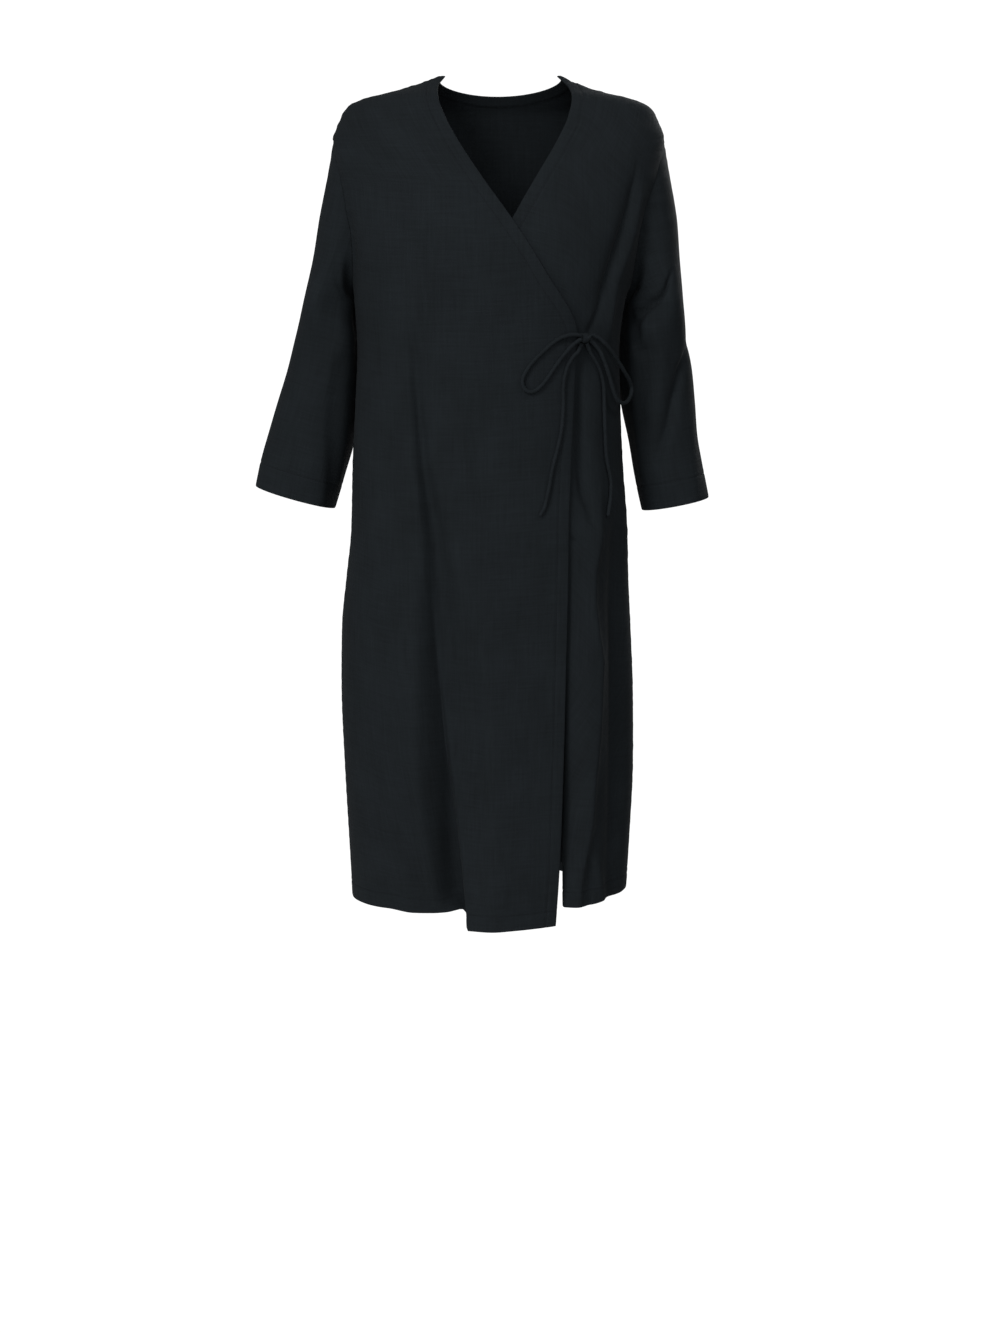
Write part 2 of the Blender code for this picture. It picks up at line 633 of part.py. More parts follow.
def wall(name, surface, columns, rows, turn, joined_from=None):
    """A wall of cloth under a surface. Rows from joined_from on close round, as on a sleeve."""
    step = 1e-3
    outer = surface(columns, rows)
    across = surface(columns + step, rows) - surface(columns - step, rows)
    down = surface(columns, rows + step) - surface(columns, rows - step)
    normal = unit(turn * np.cross(across, down))
    if joined_from is not None:
        both = unit(normal[joined_from:, 0] + normal[joined_from:, -1])
        normal[joined_from:, 0] = normal[joined_from:, -1] = both
    inner = outer - CLOTH * normal
    count = len(rows) * len(columns)
    ids = np.arange(count).reshape(len(rows), len(columns))
    if joined_from is not None:
        ids[joined_from:, -1] = ids[joined_from:, 0]
    quads = [
        (ids[i, j], ids[i + 1, j], ids[i + 1, j + 1], ids[i, j + 1])[:: -turn]
        for i in range(len(rows) - 1)
        for j in range(len(columns) - 1)
    ]
    bm = bmesh.new()
    verts = [bm.verts.new(point) for point in np.concatenate((outer, inner)).reshape(-1, 3)]
    for quad in quads:
        corners = list(dict.fromkeys(quad))
        bm.faces.new([verts[k] for k in corners])
    rim = [edge for edge in bm.edges if edge.is_boundary]
    bm.verts.index_update()
    pairs = [(loop.vert.index, loop.link_loop_next.vert.index) for edge in rim for loop in edge.link_loops]
    for quad in quads:
        corners = list(dict.fromkeys(quad))
        bm.faces.new([verts[k + count] for k in reversed(corners)])
    for start, end in pairs:
        bm.faces.new((verts[end], verts[start], verts[start + count], verts[end + count]))
    bmesh.ops.delete(bm, geom=[v for v in bm.verts if not v.link_faces], context="VERTS")
    return finished(name, bm)


def finished(name, bm):
    mesh = bpy.data.meshes.new(name)
    bm.to_mesh(mesh)
    bm.free()
    mesh.shade_smooth()
    mesh.set_sharp_from_angle(angle=math.radians(50))
    piece = bpy.data.objects.new(name, mesh)
    bpy.context.scene.collection.objects.link(piece)
    return linen(piece)


def linen(piece):
    material = bpy.data.materials.new(piece.name + "_linen")
    material.use_nodes = True
    shader = material.node_tree.nodes["Principled BSDF"]
    shader.inputs["Base Color"].default_value = LINEN
    shader.inputs["Roughness"].default_value = 0.9
    shader.inputs["Metallic"].default_value = 0.0
    piece.data.materials.append(material)
    return piece


def on_front(x, drop, stand_off):
    """A point this far off the front of the dress."""
    return body_face(around_at_x(x, drop), np.asarray(drop, float), -np.asarray(stand_off, float))


def tree_of(piece):
    mesh = piece.data
    mesh.calc_loop_triangles()
    corners = [vert.co[:] for vert in mesh.vertices]
    return BVHTree.FromPolygons(corners, [triangle.vertices[:] for triangle in mesh.loop_triangles])


def laid(x, drop, reach, cloth):
    """The middle of something of this radius that lies on the cloth, and the way out of the cloth."""
    point = on_front(x, drop, 0.012)
    outward = unit(point - on_front(x, drop, 0.0))
    for _ in range(12):
        nearest = min(tree.find_nearest(point)[3] for tree in cloth)
        point = point - outward * (nearest - reach)
    return point, outward


def off_knot(point, knot):
    """The first two points of a cord that leaves the knot straight toward a point."""
    way = unit(point - knot)
    start = knot + way * (1 / np.linalg.norm(way / np.array(KNOT_SIZE)) + TIE_GAP)
    return start, start + way * TIE_STRAIGHT


def tie(name, route, cloth, knot, is_loop=False):
    """A round cord along a smooth curve through the route, laid on the cloth."""
    rows = np.array(route)
    ends = np.vstack((2 * rows[0] - rows[1], rows, 2 * rows[-1] - rows[-2]))
    spots = []
    for k in range(len(rows) - 1):
        before, start, end, after = ends[k : k + 4]
        steps = max(1, round(math.dist(start[:2], end[:2]) / TIE_POINT_SPACING))
        for t in np.arange(steps) / steps:
            bend = t * t * (before - 2.5 * start + 2 * end - 0.5 * after)
            last = t**3 * (1.5 * (start - end) + 0.5 * (after - before))
            spots.append(start + 0.5 * t * (end - before) + bend + last)
    spots.append(rows[-1])
    points = []
    for x, drop, lift in spots:
        point, outward = laid(x, drop, TIE_DIAMETER / 2 + TIE_GAP, cloth)
        points.append(point + outward * lift)
    points[:1] = off_knot(points[0], knot)
    if is_loop:
        points[-1:] = reversed(off_knot(points[-1], knot))
    curve = bpy.data.curves.new(name, "CURVE")
    curve.dimensions = "3D"
    curve.bevel_depth = TIE_DIAMETER / 2
    curve.bevel_resolution = 2
    curve.use_fill_caps = True
    spline = curve.splines.new("POLY")
    spline.points.add(len(points) - 1)
    for spline_point, point in zip(spline.points, points):
        spline_point.co = (*point, 1.0)
    piece = bpy.data.objects.new(name, curve)
    bpy.context.scene.collection.objects.link(piece)
    return linen(piece)


def bow_knot(cloth):
    """The knot, laid on the cloth, and its middle."""
    bm = bmesh.new()
    bmesh.ops.create_uvsphere(bm, u_segments=14, v_segments=8, radius=1.0)
    bmesh.ops.scale(bm, vec=KNOT_SIZE, verts=bm.verts)
    place = on_front(*KNOT_PLACE, 0.020)
    outward = unit(place - on_front(*KNOT_PLACE, 0.0))
    shape = np.array([vert.co[:] for vert in bm.verts])
    for _ in range(12):
        nearest = min(tree.find_nearest(corner)[3] for corner in shape + place for tree in cloth)
        place = place - outward * (nearest - TIE_GAP)
    bmesh.ops.translate(bm, vec=place, verts=bm.verts)
    finished("bow_knot", bm)
    return place


def build():
    for old in list(bpy.data.objects):
        bpy.data.objects.remove(old, do_unlink=True)
    rows = body_rows()
    outer = wall("right_front", right_front, stretches(RIGHT_FRONT_COLUMNS), rows, -1)
    under = wall("left_front", left_front, stretches(LEFT_FRONT_COLUMNS), rows, 1)
    wall("back", back, stretches(BACK_COLUMNS), rows, 1)
    cap = ARMHOLE["share"][1:]
    sleeve_rows = np.concatenate((cap, SLEEVE_ROWS))
    round_shares = np.linspace(0.0, 1.0, SLEEVE_COLUMNS + 1)
    joined = len(cap) - 1
    right = sleeve(-1, RIGHT_OUTER, RIGHT_SLEEVE, RIGHT_SLEEVE_FOLDS)
    left = sleeve(1, LEFT_OUTER, LEFT_SLEEVE, LEFT_SLEEVE_FOLDS)
    wall("right_sleeve", right, round_shares, sleeve_rows, 1, joined)
    wall("left_sleeve", left, round_shares, sleeve_rows, -1, joined)
    cloth = (tree_of(outer), tree_of(under))
    knot = bow_knot(cloth)
    tie("left_tie_loop", RIGHT_LOOP, cloth, knot, is_loop=True)
    tie("right_tie_loop", LEFT_LOOP, cloth, knot, is_loop=True)
    tie("left_tie_tail", RIGHT_TAIL, cloth, knot)
    tie("right_tie_tail", LEFT_TAIL, cloth, knot)


build()
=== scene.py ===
"""A linen wrap dress, worn and hollow, as cloth, cords and thread.

Metres, +Z up. The wearer faces -Y, so +X is the wearer's left. The origin lies midway between the two neck
points, where the shoulders hold the dress up, and every height is given as a drop below it.
"""

import math

import bpy
import numpy as np
from mathutils.bvhtree import BVHTree
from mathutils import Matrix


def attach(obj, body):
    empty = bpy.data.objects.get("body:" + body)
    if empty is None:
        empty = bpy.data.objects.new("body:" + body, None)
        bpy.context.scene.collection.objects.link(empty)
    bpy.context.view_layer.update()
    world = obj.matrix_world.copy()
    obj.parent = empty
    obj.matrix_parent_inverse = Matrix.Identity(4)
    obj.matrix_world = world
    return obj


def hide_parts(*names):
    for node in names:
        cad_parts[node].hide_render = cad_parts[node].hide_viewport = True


bl_info = {
    "name": "Linen Wrap Dress",
    "version": (1, 0, 0),
    "blender": (4, 5, 0),
    "location": "View3D > Sidebar > Wrap Dress",
    "description": "Builds the cloth, ties and stitching of a linen wrap dress",
    "category": "Object",
}

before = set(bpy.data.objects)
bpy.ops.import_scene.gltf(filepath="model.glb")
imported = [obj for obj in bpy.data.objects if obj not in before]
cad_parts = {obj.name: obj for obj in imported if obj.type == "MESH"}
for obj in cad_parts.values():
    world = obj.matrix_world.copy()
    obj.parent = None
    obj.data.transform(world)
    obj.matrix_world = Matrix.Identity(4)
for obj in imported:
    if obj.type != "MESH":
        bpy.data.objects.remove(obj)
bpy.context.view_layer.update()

# Cloth
SEAM_GAP = 0.0003  # between two pieces at a seam
SEAM_SLANT = (0.0006, 0.00045)  # how far a seam's edges slant through the cloth, toward the middle and the front
LAYER_STEP = 0.0048  # from the face of the right front to the face of the left front beneath it

# Drops below the neck points
TOP_DROP = 0.002
SHOULDER_DROP = 0.080
UNDERARM_DROP = 0.285
WAIST_DROP = 0.329
HEM_DROP = 1.090

# Places on the body of the dress
SIDE_SEAM_BACK = 0.012  # the side seams lie this far behind the middle of the shoulders
BACK_NECK_DIP = 0.012  # the back neckline hangs this far below the neck points
UNDERARM_POINT = 0.45  # how far each sleeve is drawn to a point at the underarm seam, from 0 to 1
ARMHOLE_EASE = 0.0005  # the sleeve's head is smaller than the armhole by this much all round
BELOW_HEAD = 0.45  # a sleeve takes its own form from here on, as a share of the way down to the underarm
SIDE_FADE = 0.3  # the folds die away toward the side seams from this sine of the angle round the body
STEP_HALF = 0.005  # half the width of the hem's step, which has columns of its own
HEM_TOP_DROP = 0.80  # the rows of cloth below this follow the hem
NECK_DIP_END = 0.12  # and those of the back above this follow its neckline
COVERED_BEYOND, COVERED_RUN = 0.035, 0.030  # the left front sinks beneath the right one from here, over this far
TUCK_X = 0.088  # the left front is folded back under itself here
TUCK_DEPTH = 0.030
TUCK_RADIUS = 0.0022
TUCK_TOP_DROP = 0.62
TUCK_FULL_DROP = 0.95
FLARE_TOP_DROP = 0.50
BACK_HEM_FLARE = 1.1  # the back's folds are deeper at the hem than at the waist by this share

# Small waves beside a seam, an edge and a hem: their height, and how far they reach into the cloth
SEAM_PUCKER = (0.0005, 0.022)
SLEEVE_PUCKER = (0.0005, 0.020)
EDGE_PUCKER = (0.00016, 0.012)
HEM_PUCKER = (0.00025, 0.020)

# Ties
TIE_STRAIGHT = 0.004  # a tie leaves the knot straight for this far
TIE_POINT_SPACING = 0.0080  # between the points of a tie that are laid on the cloth
TIE_RING_SPACING = 0.0016  # between the rings of a tie's mesh
KNOT_SIZE = (0.0085, 0.0062, 0.0070)  # half its width, depth and height
KNOT_PLACE = (0.1035, 0.3315)  # its x and drop
KNOT_STRAND = 0.0022  # half the thickness of the cord where it is wound into the knot
KNOT_CORE = 0.86  # the ball inside the windings, as a share of the knot's size

# Camera and lights
CAMERA_PLACE = (-0.0013, -2.087, -0.398)
CAMERA_TILT = math.radians(80)  # from looking straight down
SENSOR_MM, LENS_MM = 36.0, 42.08
# Each lamp, which the setting of its name gives its power, with its place, its aim and its width.
LAMPS = (
    ("main_light", (-1.65, -2.75, 1.30), (0.0, 0.0, -0.45), 1.4),
    ("back_light", (1.5, 1.9, 0.9), (0.0, 0.0, -0.45), 1.2),
    ("right_light", (1.7, -1.2, 1.5), (0.2, 0.0, -0.1), 1.0),
    ("fill_light", (0.25, -2.3, -0.1), (0.0, 0.0, -0.40), 0.8),
    ("low_light", (-1.0, -1.3, -1.25), (-0.16, -0.1, -1.0), 0.8),
    ("top_light", (0.3, -0.6, 2.2), (0.0, 0.0, -0.5), 1.6),
)


def table(names, *rows):
    """A table's rows as named columns."""
    return dict(zip(names.split(), np.array(rows, float).T))


# The body of the dress at a drop: how far it reaches each way, and how square its corners are.
BODY = table(
    "drop   right   left    front   back   squareness",
    (0.000, 0.0740, 0.0735, 0.0080, 0.060, 2.0),
    (0.009, 0.0985, 0.0920, 0.0200, 0.067, 2.0),
    (0.022, 0.1410, 0.1300, 0.0380, 0.076, 2.1),
    (0.033, 0.1830, 0.1740, 0.0520, 0.084, 2.2),
    (0.043, 0.1990, 0.1930, 0.0600, 0.089, 2.3),
    (0.060, 0.2075, 0.2020, 0.0700, 0.096, 2.4),
    (0.080, 0.2150, 0.2090, 0.0810, 0.102, 2.5),
    (0.120, 0.2120, 0.2050, 0.0960, 0.110, 2.6),
    (0.190, 0.2020, 0.1900, 0.1150, 0.114, 2.6),
    (0.250, 0.1940, 0.1730, 0.1240, 0.113, 2.5),
    (0.285, 0.1905, 0.1610, 0.1260, 0.111, 2.4),
    (0.340, 0.1880, 0.1550, 0.1240, 0.108, 2.3),
    (0.420, 0.1920, 0.1575, 0.1210, 0.109, 2.3),
    (0.490, 0.1965, 0.1615, 0.1200, 0.114, 2.3),
    (0.580, 0.2000, 0.1690, 0.1210, 0.122, 2.3),
    (0.640, 0.2070, 0.1710, 0.1220, 0.126, 2.3),
    (0.710, 0.2145, 0.1750, 0.1230, 0.128, 2.3),
    (0.800, 0.2165, 0.1795, 0.1235, 0.130, 2.3),
    (0.900, 0.2138, 0.1810, 0.1240, 0.131, 2.3),
    (1.000, 0.2097, 0.1775, 0.1245, 0.131, 2.3),
    (1.100, 0.2055, 0.1725, 0.1250, 0.131, 2.3),
)

# The armholes: how far they reach before and behind their middle, as a share of the way down.
ARMHOLE = table(
    "share reach",
    (0.00, 0.0),
    (0.10, 0.024),
    (0.24, 0.040),
    (0.40, 0.050),
    (0.56, 0.053),
    (0.72, 0.048),
    (0.86, 0.034),
    (1.00, 0.0),
)

# The free edge of each front, from the neck point round the V neck and down to the hem.
RIGHT_FRONT_EDGE = table(
    "drop x",
    (0.000, -0.0700),
    (0.019, -0.0795),
    (0.034, -0.0785),
    (0.062, -0.0690),
    (0.089, -0.0550),
    (0.141, -0.0210),
    (0.188, 0.0130),
    (0.251, 0.0540),
    (0.329, 0.0955),
    (0.380, 0.0940),
    (0.565, 0.0860),
    (0.880, 0.0805),
    (1.010, 0.0773),
    (1.100, 0.0722),
)
LEFT_FRONT_EDGE = table(
    "drop x",
    (0.000, 0.0700),
    (0.019, 0.0855),
    (0.034, 0.0885),
    (0.062, 0.0830),
    (0.089, 0.0710),
    (0.141, 0.0410),
    (0.188, 0.0130),
    (0.251, -0.0270),
    (0.329, -0.0750),
    (1.100, -0.0750),
)

# A hollow in the right front that ends in a step, over the wearer's forward leg. It deepens to the hem.
HEM_STEP = table(
    "drop   x      hollow  spread",
    (0.30, -0.113, 0.000, 0.030),
    (0.56, -0.099, 0.000, 0.030),
    (0.70, -0.090, 0.004, 0.035),
    (0.84, -0.079, 0.012, 0.060),
    (0.94, -0.068, 0.024, 0.095),
    (1.02, -0.059, 0.040, 0.130),
    (1.09, -0.052, 0.056, 0.146),
)

# The hem of each front: its drop by distance from the side seam along the cloth.
RIGHT_HEM = table(
    "length drop",
    (0.000, 1.087),
    (0.040, 1.083),
    (0.080, 1.080),
    (0.120, 1.081),
    (0.155, 1.088),
    (0.200, 1.091),
    (0.225, 1.089),
    (0.239, 1.100),
    (0.270, 1.101),
    (0.300, 1.099),
    (0.357, 1.095),
)
LEFT_HEM = table(
    "length drop",
    (0.00, 1.079),
    (0.05, 1.070),
    (0.09, 1.070),
    (0.13, 1.0735),
    (0.162, 1.0735),
    (0.200, 1.035),
    (0.240, 1.014),
    (0.34, 0.985),
)

# The hem of the back, by share of its width from the right side seam.
BACK_HEM = table(
    "share drop",
    (0.00, 1.087),
    (0.15, 1.090),
    (0.80, 1.090),
    (1.00, 1.079),
)


def creased(roundness, skew, *route):
    """A fold. A roundness of 1 is a sharp crease and 2 a soft wave, and the skew widens its right side.

    The route is its place across, its drop, its height and its width, in mm.
    """
    return roundness, skew, np.array(route) / 1000


FRONT_FOLDS = (
    # the long fold of the skirt, which ends in the hem's step
    creased(2.4, 1.5,
        (-110, 307, 0, 6), (-109, 340, -3.5, 6), (-108, 383, -6, 6), (-105, 427, -8.5, 6.5), (-101, 483, -10, 7),
        (-94, 533, -13, 8.5), (-86, 584, -16, 11), (-82, 635, -19, 13.5), (-79, 686, -22, 16), (-76, 737, -24, 18),
        (-72, 790, -25, 21), (-69, 843, -25, 23), (-67, 900, -24, 24), (-66, 959, -22, 24), (-64, 1017, -18, 23),
        (-62, 1054, -15, 22), (-48, 1077, -10, 20)),
    # its lip
    creased(1.5, 1,
        (-117, 533, 0, 7), (-113, 635, 2, 7.5), (-110, 738, 3, 8), (-111, 844, 3.5, 9), (-109, 926, 3.5, 10),
        (-101, 1012, 3, 10), (-95, 1078, 2.5, 10)),
    # a shallow fold beside it
    creased(2, 1,
        (-43, 646, 0, 11), (-40, 710, -6, 11), (-35, 788, -8, 12), (-31, 867, -7, 12), (-29, 947, -5, 12),
        (-28, 1014, 0, 12)),
    creased(2, 1,
        (-39, 402, 0, 6), (-35, 445, -1.6, 6), (-30, 507, -1.6, 6), (-26, 557, 0, 6)),
    # gathered under the knot
    creased(1.4, 1,
        (101, 331, 0, 5), (101, 361, -4.5, 5), (101, 408, -8, 5.6), (102, 446, -9, 6), (103, 490, -9, 6),
        (107, 524, -8, 5.6), (114, 552, -5.5, 5), (120, 577, 0, 4)),
    # the crest that the under front turns on
    creased(1.05, 0.24,
        (128, 496, 0, 16), (127, 541, 4, 20), (126, 585, 9, 26), (117, 625, 12, 28), (116, 662, 13, 30),
        (120, 701, 14, 30), (126, 741, 15, 32), (125, 794, 15, 32), (123, 846, 14.5, 32), (119, 899, 13, 28),
        (117, 959, 11, 24), (113, 997, 7, 18), (106, 1041, 5, 12), (105, 1069, 4, 10)),
    # beyond the crest
    creased(2, 1,
        (151, 537, 0, 11), (151, 589, -8, 12), (152, 667, -12, 13), (154, 746, -13, 13), (155, 853, -13, 13),
        (154, 962, -11, 13), (151, 1031, -8, 12), (148, 1070, -6, 12)),
    # drawn from the knot to the armhole
    creased(1.2, 0.75,
        (169, 111, 0, 9), (168, 138, -6, 9), (163, 167, -10.5, 8.5), (155, 199, -12.5, 8.3), (146, 226, -12.5, 7.8),
        (138, 250, -11.5, 7.2), (129, 275, -10, 6.6), (122, 299, -7.5, 6), (114, 322, -5, 5.2), (109, 340, 0, 5)),
    creased(1.5, 1,
        (179, 135, 0, 7), (175, 161, 3, 7), (168, 199, 4.5, 7), (159, 226, 4.5, 7), (149, 250, 4.5, 7),
        (141, 275, 4.5, 7), (136, 298, 4, 6.5), (131, 331, 2, 6), (128, 348, 0, 6)),
    creased(1.3, 0.4,
        (194, 134, 0, 9), (187, 170, -5, 9), (183, 199, -6.5, 10), (177, 224, -5, 10), (172, 247, -3.5, 9),
        (162, 265, -2, 8), (157, 278, 0, 6)),
    # the edge of the hollow under the arm
    creased(1.3, 0.7,
        (145, 265, 0, 7), (138, 284, 4, 8), (136, 305, 5, 8), (136, 330, 4.5, 8), (138, 353, 0, 8)),
    # drawn from the knot across the front
    creased(1.6, 1,
        (104, 331, 0, 6), (112, 312, 2, 6), (124, 287, 2, 7), (129, 270, 0, 7)),
    # under the right arm
    creased(1.5, 1,
        (-190, 167, 0, 6), (-192, 191, -4, 7), (-190, 218, -6, 7.5), (-189, 245, -5, 7), (-187, 272, -2, 6),
        (-186, 288, 0, 5)),
    # at the hem under the wrap
    creased(1.5, 1,
        (123, 991, 0, 5), (129, 1015, 2.2, 5), (134, 1046, 3.5, 6), (139, 1072, 3.5, 6)),
    creased(1.5, 1,
        (119, 984, 0, 5), (118, 1012, -2.5, 6), (119, 1047, -3.5, 7), (119, 1074, -3.5, 7)),
    # up to the left neck edge
    creased(1.8, 1,
        (131, 32, 0, 14), (138, 65, 1.5, 14), (158, 102, 2.5, 12), (168, 132, 2, 10), (175, 154, 0, 8)),
)
UNDER_FOLDS = (
    # the shadowed hollow along the free edge
    creased(1.6, 1,
        (84, 558, 0, 9), (83, 609, -2, 9), (82, 660, -4, 9), (81, 712, -5, 9), (80, 790, -5, 10), (79, 870, -8, 14),
        (80, 923, -12, 17), (78, 991, -14, 18), (74, 1067, -12, 18)),
    # a crease across the under front
    creased(1.4, 1,
        (83, 582, -1.5, 3), (93, 584, -2.6, 3.2), (109, 588, -2.4, 3.2), (124, 597, -1, 3), (130, 600, 0, 3)),
)
BACK_FOLDS = (
    creased(2, 1,
        (-60, 160, 0, 16), (-80, 340, -4.5, 16), (-100, 620, -4.5, 16), (-108, 1100, -4.5, 16)),
    creased(2, 1,
        (-40, 300, 0, 18), (-58, 600, 4.5, 18), (-60, 1100, 4.5, 18)),
    creased(2, 1,
        (30, 200, 0, 17), (28, 420, -5, 17), (10, 740, -5, 17), (4, 1100, -5, 17)),
    creased(2, 1,
        (60, 280, 0, 18), (62, 620, 4.5, 18), (54, 1100, 4.5, 18)),
    creased(2, 1,
        (88, 220, 0, 16), (98, 480, -4.5, 16), (104, 800, -4.5, 16), (108, 1100, -4.5, 16)),
    creased(2, 1,
        (-130, 440, 0, 16), (-142, 760, 4, 16), (-146, 1100, 4, 16)),
)

# The sleeves: the outer line of each down to the underarm, as distance from the centre plane.
SLEEVE_OUTER = table(
    "drop   right   left",
    (0.080, 0.2155, 0.2095),
    (0.105, 0.2205, 0.2150),
    (0.134, 0.2260, 0.2205),
    (0.179, 0.2356, 0.2285),
    (0.229, 0.2450, 0.2330),
    (0.285, 0.2590, 0.2390),
)
# Below the underarm: the outer and inner line of each sleeve, and its middle and half depth front to back.
RIGHT_SLEEVE = table(
    "share outer  outer_drop inner inner_drop middle half_depth",
    (0.00, 0.2590, 0.285, 0.1905, 0.2850, 0.012, 0.0560),
    (0.08, 0.2645, 0.304, 0.1915, 0.3040, 0.017, 0.0565),
    (0.20, 0.2740, 0.333, 0.1885, 0.3360, 0.027, 0.0570),
    (0.36, 0.2860, 0.371, 0.1870, 0.3790, 0.037, 0.0565),
    (0.52, 0.2995, 0.409, 0.1910, 0.4210, 0.042, 0.0555),
    (0.68, 0.3120, 0.447, 0.1985, 0.4645, 0.043, 0.0545),
    (0.84, 0.3235, 0.485, 0.2115, 0.5085, 0.040, 0.0535),
    (1.00, 0.3320, 0.523, 0.2255, 0.5535, 0.036, 0.0525),
)
LEFT_SLEEVE = table(
    "share outer  outer_drop inner inner_drop middle half_depth",
    (0.00, 0.2390, 0.285, 0.1610, 0.2850, 0.012, 0.0560),
    (0.08, 0.2420, 0.304, 0.1596, 0.3040, 0.017, 0.0565),
    (0.20, 0.2475, 0.334, 0.1556, 0.3360, 0.027, 0.0570),
    (0.36, 0.2560, 0.373, 0.1556, 0.3790, 0.037, 0.0565),
    (0.52, 0.2610, 0.412, 0.1630, 0.4210, 0.042, 0.0555),
    (0.68, 0.2648, 0.453, 0.1730, 0.4645, 0.042, 0.0545),
    (0.84, 0.2722, 0.494, 0.1808, 0.5085, 0.038, 0.0535),
    (1.00, 0.2812, 0.538, 0.1915, 0.5560, 0.034, 0.0525),
)
# Folds of the sleeves: place round and width in thousandths of the whole way, and place down in those of a row.
RIGHT_SLEEVE_FOLDS = (
    # the ridge where the sleeve's face turns in
    creased(1.5, 2.2,
        (102, 763, 0, 23.8), (108, 933, 4, 29.7), (159, 1139, 5.5, 32.7), (211, 1302, 6, 32.7), (220, 1453, 6, 32.7),
        (203, 1642, 6.5, 32.7), (162, 1832, 6.5, 32.7), (133, 1970, 6, 32.7)),
    # full at the underarm
    creased(2, 1,
        (41, 701, 0, 46.2), (38, 869, 8, 49.5), (89, 1036, 13, 52.8), (143, 1211, 12, 52.8), (149, 1409, 8, 49.5),
        (128, 1629, 6, 42.9), (76, 1867, 3, 33)),
)
LEFT_SLEEVE_FOLDS = (
    # from the armhole into the elbow
    creased(1.25, 0.8,
        (264, 796, 0, 16.5), (206, 885, -8, 18.5), (175, 976, -12.5, 21.1), (127, 1047, -12.5, 23.1),
        (133, 1123, -7, 23.1), (161, 1212, 0, 19.8)),
    # down the forearm
    creased(1.4, 0.9,
        (426, 1084, 0, 19.8), (477, 1195, -7, 20.5), (357, 1344, -9.5, 22.4), (301, 1495, -9.5, 23.1),
        (263, 1616, -8.5, 23.1), (207, 1731, -5.5, 21.4), (163, 1842, 0, 19.8)),
    # the hollow beside the body
    creased(1.4, 1,
        (67, 988, 0, 16.5), (91, 1077, -6, 18.1), (149, 1160, -9, 19.8), (186, 1238, -6, 19.8), (191, 1288, 0, 16.5)),
    # the bulge over the elbow
    creased(1.7, 1,
        (95, 1077, 0, 26.4), (210, 1141, 3, 33), (274, 1248, 4, 33), (254, 1414, 4, 29.7), (205, 1586, 4, 29.7),
        (168, 1727, 2, 29.7), (144, 1821, 0, 29.7)),
    # down to the cuff
    creased(2, 1,
        (408, 1504, 0, 33), (383, 1706, 2, 39.6), (348, 1899, 2, 39.6), (326, 1988, 2, 39.6)),
    # full at the underarm
    creased(2, 1,
        (39, 701, 0, 42.9), (40, 869, 8, 46.2), (89, 1026, 13, 49.5), (153, 1186, 10, 46.2), (156, 1357, 5, 39.6),
        (135, 1529, 4, 33), (113, 1697, 4, 29.7), (100, 1864, 2, 29.7)),
)

# The ties, in mm: x, the drop down the cloth, and how far the cord is lifted off it. Each starts at the knot.
RIGHT_TIE_LOOP = (
    (92, 327, 3), (84, 328.2, 2), (74, 331.5, 1), (62, 339.6, 0), (50, 350.5, 0), (39.8, 360.5, 0), (31.8, 371, 0),
    (26.5, 381.5, 0), (27.2, 391.5, 0), (32.5, 397.2, 0), (39, 397.8, 0), (45.2, 394.5, 0), (52, 387.8, 0),
    (61.2, 375.2, 0), (70, 362, 0.5), (78, 351.2, 1.5), (85, 342.5, 2.5), (92, 335.8, 3),
)
LEFT_TIE_LOOP = (
    (115, 327.2, 4), (118.5, 331, 5), (123.5, 337, 6), (130, 345.5, 7), (136.2, 355.2, 8.5), (141.5, 365.2, 10),
    (146, 375, 12), (149.8, 384.8, 14), (151.8, 394, 15), (150.8, 404, 14.5), (147.2, 411.2, 13),
    (142.5, 412.5, 11.5), (138, 408, 10), (135, 400.5, 9), (132.5, 390, 8), (129.6, 378, 7.2), (125.7, 365.2, 6.6),
    (121, 351.5, 6.2), (115, 338.2, 4.5),
)
RIGHT_TIE_TAIL = (
    (98.5, 342.3, 3.5), (93.5, 348.5, 3), (88, 355.5, 0.8), (82.8, 365, 0), (78.8, 377, 0), (76.8, 392, 0),
    (77, 414.3, 0), (76.2, 430.3, 0), (74.5, 447.4, 0), (70, 469.5, 0), (64, 493, 0), (59.3, 520, 0), (53.7, 543, 0),
    (48.1, 552.8, 0),
)
LEFT_TIE_TAIL = (
    (108.5, 342.3, 2), (112, 349, 0.8), (117, 357, 0), (122, 366.5, 0), (126, 378, 0), (128.2, 390, 0), (129, 402, 0),
    (129.4, 414.3, 0), (130.9, 447.4, 0), (133.3, 480.8, 0), (137.3, 499, 0), (139.5, 512, 0), (139.4, 525, 0),
    (138, 538.9, 0), (135.2, 556.6, 0),
)


def smooth(columns, name, at):
    """Reads a column at any place along the table's first column, on a curve with no overshoot."""
    place = next(iter(columns.values()))
    value = columns[name]
    gap = np.diff(place)
    slope = np.diff(value) / gap
    before, after = slope[:-1], slope[1:]
    same_way = before * after > 0
    total = np.where(same_way, before + after, 1.0)
    tangent = np.concatenate((slope[:1], np.where(same_way, 2 * before * after / total, 0.0), slope[-1:]))
    at = np.clip(at, place[0], place[-1])
    i = np.clip(np.searchsorted(place, at, side="right") - 1, 0, len(gap) - 1)
    t = (at - place[i]) / gap[i]
    start = (1 + 2 * t) * (1 - t) ** 2 * value[i] + t * (1 - t) ** 2 * gap[i] * tangent[i]
    return start + t * t * (3 - 2 * t) * value[i + 1] + t * t * (t - 1) * gap[i] * tangent[i + 1]


def ease(share):
    """A soft run from 0 to 1."""
    share = np.clip(share, 0.0, 1.0)
    return share * share * (3 - 2 * share)


